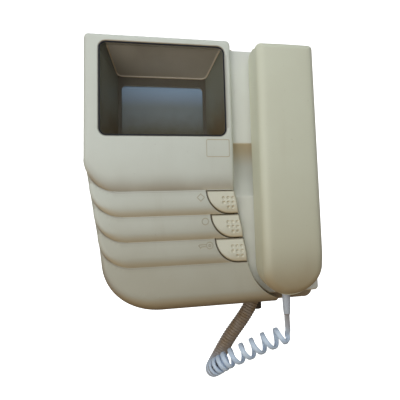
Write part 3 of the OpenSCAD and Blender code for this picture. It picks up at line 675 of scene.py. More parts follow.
def wire_grain(s: Shader, i: dict[str, bpy.types.NodeSocket]) -> dict[str, object]:
    """Spark-eroded grain of a moulded surface, as a height and a gloss change.

    Args:
        s: the group's tree.
        i: its inputs, by name.

    Returns:
        What goes to each output, by name.
    """
    where = s.where()
    fine = s.noise(where, i["Scale"], 2.0, 0.55)
    pits = s.node("TexVoronoi", {"Vector": where, "Scale": i["Scale"]}).outputs["Distance"]
    height = s.math("ADD", s.math("MULTIPLY", fine, 0.7), s.math("MULTIPLY", pits, 0.5))
    worn = s.noise(where, 23.0, 4.0, 0.6)
    gloss = s.math("MULTIPLY", s.math("SUBTRACT", worn, 0.5), i["Gloss Change"])
    return {"Height": height, "Gloss": gloss}


def wire_ageing_and_shade(s: Shader, i: dict[str, bpy.types.NodeSocket]) -> dict[str, object]:
    """Uneven yellowing in clouds and streaks, the aged colour more lower down, and a painted
    warm shade on faces that point down.

    Args:
        s: the group's tree.
        i: its inputs, by name.

    Returns:
        What goes to each output, by name.
    """
    where = s.where()
    clouds = s.noise(where, 9.0, 4.0, 0.6)
    streaks = s.noise(s.scaled((60.0, 60.0, 7.0)), 1.0, 3.0)
    share = s.math("MULTIPLY", s.ramp(clouds, 0.3, 0.72), i["Amount"])
    share = s.math("ADD", share, s.math("MULTIPLY", s.ramp(streaks, 0.55, 0.8), 0.12))
    low = s.ramp(s.part(where, "Z"), -0.12, 0.045, 1.0, 0.0)
    share = s.math("ADD", share, s.math("MULTIPLY", low, i["Low"]))
    colour = s.mix(share, i["Fresh"], i["Aged"])
    # Painted shade: faces that point down turn gold, standing in for warm light from below.
    under = s.math("MULTIPLY", s.ramp(s.facing("Z"), -0.08, -0.75), i["Under"])
    colour = s.mix(under, colour, i["Golden"])
    dots = s.ramp(s.noise(where, 420.0, 1.0), 0.76, 0.82)
    return {"Colour": s.mix(s.math("MULTIPLY", dots, 0.10), colour, i["Speck"])}


def wire_shade_and_grime(s: Shader, i: dict[str, bpy.types.NodeSocket]) -> dict[str, object]:
    """Brown colour where the mesh is marked, broken up by noise; the mark holds dirt and painted
    shade.

    Args:
        s: the group's tree.
        i: its inputs, by name.

    Returns:
        What goes to each output, by name.
    """
    where = s.where()
    marked = s.node("Attribute", attribute_name="grime").outputs["Fac"]
    broken = s.ramp(s.noise(where, 34.0, 5.0, 0.65), 0.2, 0.75, 0.72, 1.0)
    # Painted shade, where Foot is set: brown towards the bottom edge, where the foot faces down.
    low = s.ramp(s.part(where, "Z"), -0.121, -0.098, 1.0, 0.0)
    marked = s.math("MAXIMUM", marked, s.math("MULTIPLY", low, i["Foot"]))
    mask = s.math("MULTIPLY", marked, broken)
    return {"Colour": s.mix(mask, i["Clean"], i["Film"]), "Mask": mask}


GRAIN = Group("moulded_grain",
              (("Scale", FLOAT, 900.0), ("Gloss Change", FLOAT, 0.1)),
              (("Height", FLOAT), ("Gloss", FLOAT)), wire_grain)
AGEING_AND_SHADE = Group("plastic_ageing",
               (("Fresh", COLOUR, (0.8, 0.8, 0.7, 1)), ("Aged", COLOUR, (0.7, 0.6, 0.4, 1)),
                ("Speck", COLOUR, (0.2, 0.15, 0.1, 1)), ("Amount", FLOAT, 0.5),
                ("Low", FLOAT, 0.0), ("Under", FLOAT, 0.65),
                ("Golden", COLOUR, (0.72, 0.54, 0.28, 1))),
               (("Colour", COLOUR),), wire_ageing_and_shade)
SHADE_AND_GRIME = Group("gathered_grime",
              (("Clean", COLOUR, (0.8, 0.8, 0.7, 1)), ("Film", COLOUR, (0.2, 0.12, 0.06, 1)),
               ("Foot", FLOAT, 0.0)),
              (("Colour", COLOUR), ("Mask", FLOAT)), wire_shade_and_grime)


class Surface(Shader):
    """A material in the making: its node tree round one Principled shader."""

    def __init__(self, name: str) -> None:
        """Starts a material of a name.

        Args:
            name: the material's name.
        """
        self.material = bpy.data.materials.new(name)
        self.material.use_nodes = True
        super().__init__(self.material.node_tree)

    def bump(self, height: object, strength: float,
             distance: float = 0.0002) -> bpy.types.NodeSocket:
        """The normal of a surface with fine heights."""
        return self.node("Bump", {"Height": height, "Strength": strength,
                                  "Distance": distance}).outputs["Normal"]

    def finish(self, **inputs: object) -> bpy.types.Material:
        """Sets the shader's inputs; an underscore in a name stands for a space."""
        self.feed(self.tree.nodes["Principled BSDF"],
                  {label.replace("_", " "): value for label, value in inputs.items()})
        return self.material


# ---------- finishes ----------


@dataclass(frozen=True)
class MouldedPlastic:
    """Injection-moulded plastic that has yellowed, with brown dirt and painted shade where its
    mesh is marked.
    """

    name: str
    fresh: Colour
    aged: Colour
    film_and_shade: Colour = (112, 88, 60)
    ageing: float = 0.35
    low: float = 0.0
    # Painted shade: how brown the piece turns towards its bottom edge.
    foot: float = 0.0
    roughness: float = 0.46
    grain: float = 1100.0
    depth: float = 0.05
    film_roughness: float = 0.12

    def build(self) -> bpy.types.Material:
        """Makes the material.

        Returns:
            The material.
        """
        s = Surface(self.name)
        film_and_shade = rgba(self.film_and_shade)
        aged = AGEING_AND_SHADE.place(s, Fresh=rgba(self.fresh), Aged=rgba(self.aged), Speck=film_and_shade,
                            Amount=self.ageing, Low=self.low)
        grime = SHADE_AND_GRIME.place(s, Clean=aged.outputs["Colour"], Film=film_and_shade, Foot=self.foot)
        grain = GRAIN.place(s, Scale=self.grain, Gloss_Change=0.14)
        rough = s.math("ADD", grain.outputs["Gloss"], self.roughness)
        film_rough = s.math("MULTIPLY", grime.outputs["Mask"], self.film_roughness)
        return s.finish(Base_Color=grime.outputs["Colour"],
                        Roughness=s.math("ADD", rough, film_rough),
                        Normal=s.bump(grain.outputs["Height"], self.depth), IOR=1.5)


@dataclass(frozen=True)
class Metal:
    """Sheet or turned metal with fine lines from rolling."""

    name: str
    colour: Colour
    dark: Colour
    roughness: float = 0.38
    lines: tuple[float, float, float] = (30.0, 900.0, 900.0)

    def build(self) -> bpy.types.Material:
        """Makes the material.

        Returns:
            The material.
        """
        s = Surface(self.name)
        lines = s.noise(s.scaled(self.lines), 1.0, 3.0)
        spots = s.ramp(s.noise(s.where(), 60.0, 4.0, 0.6), 0.5, 0.75)
        colour = s.mix(s.math("MULTIPLY", spots, 0.6), rgba(self.colour), rgba(self.dark))
        rough = s.ramp(lines, 0.2, 0.8, self.roughness - 0.1, self.roughness + 0.12)
        return s.finish(Base_Color=colour, Roughness=rough, Metallic=1.0,
                        Normal=s.bump(lines, 0.12, 0.0001))


@dataclass(frozen=True)
class Speckled:
    """A matt surface of two colours: board paper, rubber, sleeves and windings."""

    name: str
    colour: Colour
    second: Colour
    scale: tuple[float, float, float] = (300.0, 300.0, 300.0)
    roughness: float = 0.6
    bump: float = 0.1

    def build(self) -> bpy.types.Material:
        """Makes the material.

        Returns:
            The material.
        """
        s = Surface(self.name)
        value = s.noise(s.scaled(self.scale), 1.0, 4.0, 0.6)
        colour = s.mix(s.ramp(value, 0.35, 0.7), rgba(self.colour), rgba(self.second))
        gloss = GRAIN.place(s, Scale=700.0).outputs["Gloss"]
        return s.finish(Base_Color=colour, Roughness=s.math("ADD", gloss, self.roughness),
                        Normal=s.bump(value, self.bump))


@dataclass(frozen=True)
class SmokedPane:
    """Smoked acrylic: a thin tinted sheet with a gloss and a little dust."""

    name: str
    tint: Colour
    dust: Colour = (150, 146, 140)
    cover: float = 0.1

    def build(self) -> bpy.types.Material:
        """Makes the material.

        Returns:
            The material.
        """
        s = Surface(self.name)
        where = s.where()
        dust = s.ramp(s.noise(where, 160.0, 5.0, 0.7), 0.5, 0.8)
        smear = s.ramp(s.noise(where, 14.0, 3.0, 0.6), 0.35, 0.75)
        return s.finish(
            Base_Color=s.mix(s.math("MULTIPLY", dust, 0.10), rgba(self.tint), rgba(self.dust)),
            Alpha=s.math("ADD", s.math("MULTIPLY", smear, 0.04), self.cover),
            Roughness=s.ramp(smear, 0.0, 1.0, 0.06, 0.14))


@dataclass(frozen=True)
class HoodPlastic:
    """The screen hood's plastic, with painted light and shade: faces that point down are
    lighter, the side walls and the back wall darker.

    Each side of the lit part is given by its place in X and its slope over Y.
    """

    name: str
    lit_ceiling: Colour
    wall: Colour
    brown_tint: Colour
    back: Colour
    sides: tuple[tuple[float, float], tuple[float, float]]
    brown_heights: tuple[float, float] = (85.0, 30.0)
    side_blur: float = 0.3

    def build(self) -> bpy.types.Material:
        """Makes the material.

        Returns:
            The material.
        """
        s = Surface(self.name)
        where = s.where()
        # Painted light: faces that point down, between the two sides, take the lighter colour.
        down = s.ramp(s.facing("Z"), -0.1, -0.35)
        for (edge, slope), sign in zip(self.sides, (1, -1)):
            across = s.math("SUBTRACT", s.part(where, "X"),
                            s.math("MULTIPLY", s.part(where, "Y"), slope))
            blur = sign * self.side_blur
            down = s.math("MULTIPLY", down, s.ramp(across, (edge - blur) * MM,
                                                   (edge + blur) * MM))
        clouds = s.ramp(s.noise(where, 26.0, 4.0, 0.6), 0.3, 0.75)
        # The walls turn browner lower down, in clouds.
        high, low = (height * MM for height in self.brown_heights)
        brown_share = s.math("MULTIPLY", s.ramp(s.part(where, "Z"), high, low),
                       s.ramp(clouds, 0, 1, 0.5, 1))
        brown_tint = rgba(self.brown_tint)
        colour = s.mix(down, s.mix(brown_share, rgba(self.wall), brown_tint), rgba(self.lit_ceiling))
        # Painted shade: faces that point out through the window, the back wall, take the dark
        # back colour.
        colour = s.mix(s.ramp(s.facing("Y"), -0.8, -0.95), colour, rgba(self.back))
        grain = GRAIN.place(s)
        return s.finish(Base_Color=s.mix(s.math("MULTIPLY", clouds, 0.2), colour, brown_tint),
                        Roughness=s.math("ADD", grain.outputs["Gloss"], 0.5),
                        Normal=s.bump(grain.outputs["Height"], 0.1))


@dataclass(frozen=True)
class TubeGlass:
    """The face of the picture tube, which is unlit: grey glass over a pale screen.

    It has three colours, each at its own height: a painted reflection, grey-blue above and brown
    low down, also given out as a faint emission.
    """

    name: str
    top: Colour
    middle: Colour
    low: Colour
    heights: tuple[float, float, float]
    painted_glow: float = 0.14

    def build(self) -> bpy.types.Material:
        """Makes the material.

        Returns:
            The material.
        """
        s = Surface(self.name)
        where = s.where()
        z = s.part(where, "Z")
        low, middle, top = (h * MM for h in self.heights)
        coated = s.ramp(s.noise(where, 120.0, 3.0), 0.3, 0.7, -0.06, 0.06)
        colour = s.mix(s.math("ADD", s.ramp(z, low, middle), coated), rgba(self.low),
                       rgba(self.middle))
        colour = s.mix(s.ramp(z, middle, top), colour, rgba(self.top))
        # Painted reflection: the colours by height are also given out as light.
        return s.finish(Base_Color=colour, Emission_Color=colour, Emission_Strength=self.painted_glow,
                        Roughness=s.ramp(s.noise(where, 40.0), 0.3, 0.7, 0.10, 0.18),
                        Coat_Weight=0.6, Coat_Roughness=0.05)


@dataclass(frozen=True)
class CordVinyl:
    """Soft vinyl of the curly cord, browned by dirt and painted shade where it hangs closed.

    The mesh's mark makes it brown up to its middle, and dark above that: a painted shadow
    between touching turns.
    """

    name: str
    pale: Colour
    deep: Colour
    soiled_and_shaded: Colour
    groove_shadow: Colour
    softness: float = 0.002

    def build(self) -> bpy.types.Material:
        """Makes the material.

        Returns:
            The material.
        """
        s = Surface(self.name)
        clouds = s.ramp(s.noise(s.where(), 90.0, 3.0), 0.35, 0.7)
        colour = s.mix(clouds, rgba(self.pale), rgba(self.deep))
        marked = s.node("Attribute", attribute_name="grime").outputs["Fac"]
        brown = s.math("MULTIPLY", s.ramp(marked, 0.0, 0.62), s.ramp(clouds, 0, 1, 0.9, 1))
        colour = s.mix(brown, colour, rgba(self.soiled_and_shaded))
        grain = GRAIN.place(s, Scale=1400.0)
        return s.finish(
            Base_Color=s.mix(s.ramp(marked, 0.68, 0.95), colour, rgba(self.groove_shadow)),
            Roughness=s.math("ADD", grain.outputs["Gloss"], 0.36),
            Normal=s.bump(grain.outputs["Height"], 0.04),
            Subsurface_Weight=0.08, Subsurface_Radius=(self.softness,) * 3)


# ---------- the cover and its panels ----------

OUTSIDE = 99.0


@dataclass
class Panels:
    """The lapped panels of the cover: where each lies and how it bulges."""

    left: float
    top: float
    foot: float
    front: float
    screen_height: float = 138.2
    pitch: float = 21.3
    shift: float = 3.4
    laps: int = 3
    corner: float = 31.0
    foot_corner: float = 50.0
    side_reach: float = 5.0
    side_drop: float = 6.0
    tuck: float = 2.8
    tuck_bend: float = 1.45
    screen_lip: tuple[float, float, float] = (17.0, 3.2, 2.4)
    lap_lip: tuple[float, float, float] = (9.0, 3.1, 1.9)
    foot_lip: tuple[float, float, float] = (17.0, 20.5, 0.0)
    # Painted shade under the lips, and a painted shadow line along each panel's left side.
    lip_shade: tuple[float, float] = (0.5, 0.3)
    lip_shade_bend: float = 1.5
    side_shadow_line: float = 1.3
    row_margins: tuple[float, ...] = (-1.2, -0.5, -0.06, 0.06, 0.3, 0.8, 1.6, 2.7, 4.2, 6.0,
                                      8.2, 10.8, 14.0, 17.5)
    row_end: float = 110.0

    @property
    def lean(self) -> float:
        """The angle of the lapped panels' common side line, in degrees."""
        return math.degrees(math.atan2(self.shift, self.pitch))

    def centre(self, i: int) -> tuple[float, float]:
        """The centre of a panel's lower left corner."""
        return self.edge(i) + self.radius(i), self.low(i) + self.radius(i)

    def low(self, i: int) -> float:
        """The height of a panel's lower edge."""
        return self.foot if i > self.laps else self.top - self.screen_height - i * self.pitch

    def edge(self, i: int) -> float:
        """The place of a panel's left edge."""
        return self.left + i * self.shift

    def radius(self, i: int) -> float:
        """The radius of a panel's lower left corner."""
        return self.foot_corner if i > self.laps else self.corner

    def lip(self, i: int) -> tuple[float, float, float]:
        """How far up a panel's lip starts, how deep it falls, and the power of its bend."""
        return (self.screen_lip if i == 0 else
                self.foot_lip if i > self.laps else self.lap_lip)

    def _margin(self, i: int, p: Points) -> tuple[np.ndarray, np.ndarray]:
        """How far inside a panel's outline points are, and how far round to its foot.

        Args:
            i: the panel.
            p: the points.

        Returns:
            The margin of each point, and a share that is 0 at the side and 1 below.
        """
        r = self.radius(i)
        lean = math.radians(self.lean) if i else 0.0
        across, up = (p - self.centre(i)).T
        side = across * math.cos(lean) + up * math.sin(lean)
        round_part = (across < 0) & (up * math.cos(lean) < across * math.sin(lean))
        margin = np.where(round_part, r - np.hypot(across, up), np.minimum(side, up) + r)
        turn = np.arctan2(-np.minimum(up, 0), -np.minimum(across, 0))
        turn = np.clip((turn - lean) / (math.pi / 2 - lean), 0, 1)
        below = np.where(round_part, turn, (up < side).astype(float))
        return margin, below

    def depth(self, i: int, p: Points) -> np.ndarray:
        """How deep a panel's face lies behind the cover's front plane.

        Args:
            i: the panel.
            p: the points.

        Returns:
            The depth of each point; it is large outside the panel.
        """
        margin, below = self._margin(i, p)
        blend = below * below * (3 - 2 * below)
        reach, drop, power = self.lip(i)
        if power:
            fall = (rolled(margin, self.side_reach, self.side_drop) * (1 - blend)
                    + drop * fading(margin, reach) ** power * blend)
        else:
            fall = rolled(margin, self.side_reach + (reach - self.side_reach) * blend,
                          self.side_drop + (drop - self.side_drop) * blend)
        if i > 0:
            crown = self.low(i) + reach
            high = self.low(i - 1)
            share = np.clip((p[:, 1] - crown) / (high - crown), 0, 1.7)
            fall = fall + self.tuck * share ** self.tuck_bend
        return np.where(margin < -1e-6, OUTSIDE, fall)

    def _depths(self, p: Points) -> list[np.ndarray]:
        """The depth of points on every panel, from the screen's to the foot's."""
        return [self.depth(i, p) for i in range(self.laps + 2)]

    def face(self, p: Points) -> np.ndarray:
        """The depth Y of the cover's face."""
        return self.front + np.min(self._depths(p), 0)

    def grime(self, p: Points) -> np.ndarray:
        """How brown the face is: painted shade under each lip, and a painted shadow line in the
        seam below it.

        Args:
            p: the points.

        Returns:
            A share from 0 to 1 for each point.
        """
        worn = np.zeros(len(p))
        shown = np.argmin(self._depths(p), 0)
        for i in range(self.laps + 2):
            margin, below = self._margin(i, p)
            # Painted shade: brown under each lip and over the foot's roll, where the face turns
            # down.
            reach = self.lip(i)[0] * (0.3 + 0.7 * below)
            film_and_shade = (fading(margin, reach) ** self.lip_shade_bend
                    * (self.lip_shade[min(i, 1)] if i <= self.laps else 1.0))
            # Painted shadow: a thin dark line along each lapped panel's left side, where it
            # overhangs the next.
            line = fading(margin, self.side_shadow_line) * (1 - below) * (i <= self.laps)
            worn = np.where(shown == i, np.max([worn, film_and_shade, worn + line], 0), worn)
            # Painted shadow: dark in the seam below each lip.
            seam = np.clip(1.3 + margin / 1.2, 0, 1) * (1 - 0.7 * below)
            worn = np.where((shown > i) & (margin < 0), np.maximum(worn, seam), worn)
        return np.minimum(worn, 1)

    def edges(self) -> Points:
        """The cover's left side, downwards: a bend, a leaning line and the foot's bend.

        Returns:
            The line's points.
        """
        first = arc(self.centre(0), self.corner, 180, 180 + self.lean, 5)
        foot = arc(self.centre(self.laps + 1), self.foot_corner, 180 + self.lean, 270, 30)
        return np.vstack([first, foot])

    def rows(self) -> list[Points]:
        """Rows of points beside each seam and lip, close where the face bends.

        Returns:
            The rows.
        """
        rows = []
        for i in range(self.laps + 2):
            lean = self.lean if i else 0.0
            up = np.array([-math.sin(math.radians(lean)), math.cos(math.radians(lean))])
            for margin in self.row_margins:
                if margin > self.lip(i)[0] * 1.1:
                    break
                bend = arc(self.centre(i), self.radius(i) - margin, 180 + lean, 270, 46)
                line = np.vstack([[bend[0] + up * self.row_end], bend,
                                  [[self.row_end, bend[-1, 1]]]])
                rows.append(resample(line, 1.1 if margin < 3 else 2.0, closed=False))
        return rows


@dataclass
class CradleLine:
    """The line between the cover and the cradle."""

    x: float
    seam: float
    flare: tuple[float, float]
    flare_radius: float = 42.0
    gap: float = 0.3

    def at(self, z: float, gap: float = 0.0) -> float:
        """The line's place across at a height below the top seam.

        Args:
            z: the height.
            gap: how far to the left of the cradle's own edge.

        Returns:
            The place in X.
        """
        if z >= self.flare[1]:
            share = (self.seam - z) / (self.seam - self.flare[1])
            start, end = self.x, self.flare[0] - self.flare_radius
            return start + (end - start) * max(0.0, share) - gap
        r = self.flare_radius + gap
        return self.flare[0] - math.sqrt(r * r - (self.flare[1] - z) ** 2)

    def bow(self, gap: float, start: float, end: float) -> Points:
        """The round stretch about the handset's lower end, between two heights.

        Args:
            gap: how far to the left of the cradle's own edge.
            start: the lower height.
            end: the upper height.

        Returns:
            The stretch's points.
        """
        r = self.flare_radius + gap
        a, b = (math.degrees(math.acos((self.at(z, gap) - self.flare[0]) / r))
                for z in (start, end))
        return arc(self.flare, r, -a, -b, 24)


@dataclass
class Key:
    """One call button: where its upper left corner is, and its dimples."""

    node: str
    body: Body
    index: int
    corner: tuple[float, float]
    height: float = 20.3
    pitch: float = 4.15
    dimple: float = 2.9
    depth: float = 1.1
    last_column: float = 22.64
    first_row: float = 6.5
    lip: tuple[float, float] = (1.5, 1.1)
    dent_rings: tuple[float, ...] = (0.3, 0.6, 0.82, 0.96, 1.08, 1.25)
    rim_margins: tuple[float, ...] = (0.2, 0.5, 0.9, 1.4, 2.0)
    sunk: float = 0.05
    wall: float = 7.0
    # Painted shade along the edge and in the dimples; the last share is a faint tint all over.
    edge_shade: tuple[float, float] = (1.3, 0.8)
    dent_shade: float = 0.3
    all_film: float = 0.06

    def outline(self, line: CradleLine, grow: float = 0.0) -> Points:
        """The button's outline, or the room for it in the cover.

        Args:
            line: the line between cover and cradle.
            grow: how much wider all round.

        Returns:
            The outline from its upper left corner down and round, without the
            stretch back along the top.
        """
        x, z = self.corner
        r = self.height + grow
        bend = arc((x + self.height, z), r, 180, 270, 22)
        low = z - r
        right = [line.at(h, line.gap) for h in (low, z + grow)]
        return np.vstack([[x - grow, z + grow], bend, [right[0], low], [right[1], z + grow]])

    def spots(self) -> list[tuple[float, float]]:
        """The dimples' centres: rows of three, the last without its first."""
        x = self.corner[0] + self.last_column
        return [(x - (2 - c) * self.pitch, self.corner[1] - self.first_row - r * self.pitch)
                for r in range(3) for c in range(3) if r < 2 or c > 0]

    def build(self, panels: Panels, line: CradleLine,
              material: bpy.types.Material) -> bpy.types.Object:
        """Makes the button, with a rolled edge and dimples.

        Args:
            panels: the panels that its face follows.
            line: the line between cover and cradle.
            material: its plastic.

        Returns:
            The button.
        """
        outer = self.outline(line)[1:]
        rings = [np.array(spot) + arc((0, 0), self.dimple / 2 * share, 0, 345, 23)
                 for spot in self.spots() for share in self.dent_rings]
        rims = [inset(outer, margin, 0.7) for margin in self.rim_margins]

        def height(p: Points) -> np.ndarray:
            """The key's rolled edge and its dimples.

            Args:
                p: the points.

            Returns:
                The depth Y of each point.
            """
            face = panels.front + panels.depth(self.index + 1, p)
            edge = rolled(away(p, outer), *self.lip)
            dents = np.zeros(len(p))
            for spot in self.spots():
                share = np.clip(np.hypot(*(p - spot).T) / (self.dimple / 2 * 1.08), 0, 1)
                dents = np.maximum(dents, self.depth * np.sqrt(1 - share ** 2))
            return face + edge + dents + self.sunk

        def grime(p: Points) -> np.ndarray:
            """Painted shade at the key's edge and in its dimples, over a faint brown tint all
            over.

            Args:
                p: the points.

            Returns:
                A share from 0 to 1 for each point.
            """
            # Painted shadow along the gap at the key's edge, and painted shade in the dimples.
            reach, share = self.edge_shade
            worn = fading(away(p, outer), reach) * share
            for spot in self.spots():
                near = np.hypot(*(p - spot).T) / (self.dimple / 2)
                worn = np.maximum(worn, np.clip(1.2 - near, 0, 1) * self.dent_shade)
            return np.maximum(worn, self.all_film)

        piece = Relief(outer, height, panels.front + self.wall, rows=rings + rims,
                       spacing=1.4, edge_step=0.7, grime=grime).build(self.node + "_cap")
        return mount(piece, material, self.body, self.node)


@dataclass
class Cover:
    """The front cover with its window opening and its key notches.

    The dirt and painted shade spare the outer side edge above the foot.
    """

    panels: Panels
    line: CradleLine
    keys: list[Key]
    window: tuple[float, float, float, float, float]
    foot_end: float = 63.0
    corner: float = 7.2
    back: float = -45.25
    gap: float = 0.6
    edge_lip: tuple[float, float] = (3.4, 2.4)
    window_lip: tuple[float, float] = (1.3, 0.9)
    notch_lip: tuple[float, float] = (0.9, 0.6)
    # Painted shadow lines round the window and the key notches.
    window_rim_shade: tuple[float, float] = (1.2, 0.6)
    notch_shadow: tuple[float, float] = (0.7, 0.9)
    spared_share: float = 0.75
    spared_reach: float = 6.0
    spared_above: float = -100.0
    spared_rise: float = 25.0
    window_margins: tuple[float, ...] = (0.15, 0.4, 0.8, 1.3, 2.0)
    notch_margins: tuple[float, ...] = (0.2, 0.5, 0.9)
    top_margins: tuple[float, ...] = (0.3, 0.8, 1.4, 2.2, 3.0)
    side_margins: tuple[float, ...] = (0.25, 0.6, 1.1, 1.8, 2.6)

    def notch(self, key: Key, grow: float = 0.0) -> Points:
        """The room for a key, from its upper left corner down and round."""
        return key.outline(self.line, self.gap + grow)

    def outline(self) -> Points:
        """The cover's outline, anticlockwise from its upper left corner.

        Returns:
            The closed outline's points.
        """
        p, line = self.panels, self.line
        parts = [arc((p.left + self.corner, p.top - self.corner), self.corner, 90, 180, 10),
                 p.edges(), [[self.foot_end, p.foot]]]
        last = self.notch(self.keys[-1])
        start = -math.sqrt((line.flare_radius + line.gap) ** 2
                           - (self.foot_end - line.flare[0]) ** 2) + line.flare[1]
        parts.append(line.bow(line.gap, start, last[-2, 1]))
        for key, above in zip(self.keys[::-1], [*self.keys[-2::-1], None]):
            notch = self.notch(key)
            parts.append(notch[1:-2][::-1])
            parts.append(notch[:1])
            if above:
                parts.append([self._meeting(above, notch[0, 1])])
        top = arc((line.x - line.gap - self.corner + 1, p.top - self.corner + 1),
                  self.corner - 1, 0, 90, 8)
        parts += [[[line.x - line.gap, self.keys[0].corner[1] + self.gap]], top]
        loop = np.vstack(parts)
        step = np.linalg.norm(loop - np.roll(loop, 1, 0), axis=1)
        return loop[step > 0.03]

    def _meeting(self, above: Key, height: float) -> tuple[float, float]:
        """The point where a notch's top meets the bend of the notch above.

        Args:
            above: the key above.
            height: the notch's top.

        Returns:
            The point.
        """
        x, z = above.corner
        r = above.height + self.gap
        return x + above.height - math.sqrt(r * r - (z - height) ** 2), height

    def right_edge(self) -> Points:
        """The cover's edge beside the cradle above the keys, and over its top.

        Returns:
            The line's points, from the keys up.
        """
        p = self.panels
        x = self.line.x - self.line.gap
        return np.array([[x, p.low(0) + 0.3], [x, p.top], [p.left, p.top],
                         [p.left, p.low(0) + 30.0]])

    def rows(self) -> list[Points]:
        """Rows of points beside the window, the keys and both straight edges.

        Returns:
            The rows.
        """
        p = self.panels
        x, z, w, h, r = self.window
        side = self.line.x - self.line.gap
        rims = [round_rect((x, z), w + 2 * m, h + 2 * m, r + m) for m in self.window_margins]
        notches = [self.notch(key, m)[:-1] for key in self.keys for m in self.notch_margins]
        along = [np.array([[p.left + 2, p.top - m], [self.line.x - 3, p.top - m]])
                 for m in self.top_margins]
        down = [np.array([[side - m, p.top - 4], [side - m, p.low(0)]])
                for m in self.side_margins]
        return [resample(line, 1.2, closed=False)
                for line in (*rims, *notches, *along, *down)]

    def build(self, material: bpy.types.Material) -> bpy.types.Object:
        """Makes the cover's shell.

        Args:
            material: its finish.

        Returns:
            The cover.
        """
        p = self.panels
        outer = self.outline()
        window = round_rect(self.window[:2], *self.window[2:])
        notches = [self.notch(key)[:-1] for key in self.keys]

        def height(q: Points) -> np.ndarray:
            """The panels' face with the rolled edges of the cover.

            Args:
                q: the points.

            Returns:
                The depth Y of each point.
            """
            edge = rolled(away(q, self.right_edge(), closed=False), *self.edge_lip)
            rim = rolled(away(q, window), *self.window_lip)
            lips = [rolled(away(q, line, False), *self.notch_lip) for line in notches]
            return np.minimum(p.face(q) + np.max([edge, rim, *lips], 0), self.back - 2)

        def grime(q: Points) -> np.ndarray:
            """The panels' dirt and painted shade, and a painted shadow line round the keys and
            the window.

            Args:
                q: the points.

            Returns:
                A share from 0 to 1 for each point.
            """
            spared = np.clip(self.spared_share - away(q, outer) / self.spared_reach, 0, 1)
            high = np.clip((q[:, 1] - self.spared_above) / self.spared_rise, 0, 1)
            worn = p.grime(q) * (1 - spared * high)
            # Painted shadow in the gaps round the keys and the window.
            reach, share = self.notch_shadow
            notch_shadows = [fading(away(q, line, False), reach) * share for line in notches]
            reach, share = self.window_rim_shade
            return np.max([worn, *notch_shadows, fading(away(q, window), reach) * share], 0)

        shell = Relief(outer, height, self.back, holes=[window[::-1]],
                       rows=p.rows() + self.rows(), spacing=2.6, edge_step=1.0, grime=grime,
                       open_back=True).build("front_cover_shell")
        return mount(shell, material, Body.BASE, "front_cover")


@dataclass
class Marks:
    """The raised marks of the cover: a bare frame, and a sign beside each key."""

    panels: Panels
    frame_place: tuple[float, float] = (11.1, 20.5)
    frame_size: tuple[float, float] = (20.4, 15.3)
    diamond_place: tuple[float, float] = (-5.3, -23.1)
    diamond_half: float = 3.2
    ring_place: tuple[float, float] = (-1.9, -44.1)
    ring_radius: float = 2.8
    sign_place: tuple[float, float] = (1.5, -64.9)
    sign_shaft: float = 9.6
    sign_tooth: float = 1.9
    width: float = 1.0
    lift: float = 0.22

    def lines(self) -> list[tuple[Points, bool]]:
        """The marks' middle lines, each with whether it is closed.

        Returns:
            The lines.
        """
        half = self.diamond_half
        diamond = np.array([[0, half], [-half, 0], [0, -half], [half, 0]]) + self.diamond_place
        x, z = self.sign_place
        r, end = self.ring_radius, x - self.sign_shaft
        shaft = [[x - r, z + 0.9], [end + 0.8, z + 0.9], [end, z], [end + 0.8, z - 0.9],
                 [end + 1.6, z - self.sign_tooth], [end + 2.6, z - 0.9], [x - r, z - 0.9]]
        return [(round_rect(self.frame_place, *self.frame_size, 1.2, 4), True),
                (diamond, True),
                (arc(self.ring_place, r, 0, 345, 23), True),
                (arc(self.sign_place, r, 0, 345, 23), True),
                (arc(self.sign_place, r * 0.35, 0, 330, 11), True),
                (np.array(shaft), False)]

    def build(self, material: bpy.types.Material) -> bpy.types.Object:
        """Makes the marks as beads on the cover's face.

        Args:
            material: its finish.

        Returns:
            The marks, as one piece.
        """
        draft = Draft()
        for line, closed in self.lines():
            fine = resample(line, 0.9, closed)
            path = np.insert(fine, 1, self.panels.face(fine) + self.lift, axis=1)
            draft.tube(bead(path, self.width, closed), closed=closed)
        return mount(draft.build("cover_marks", 60), material, Body.BASE)


# ---------- cradle ----------


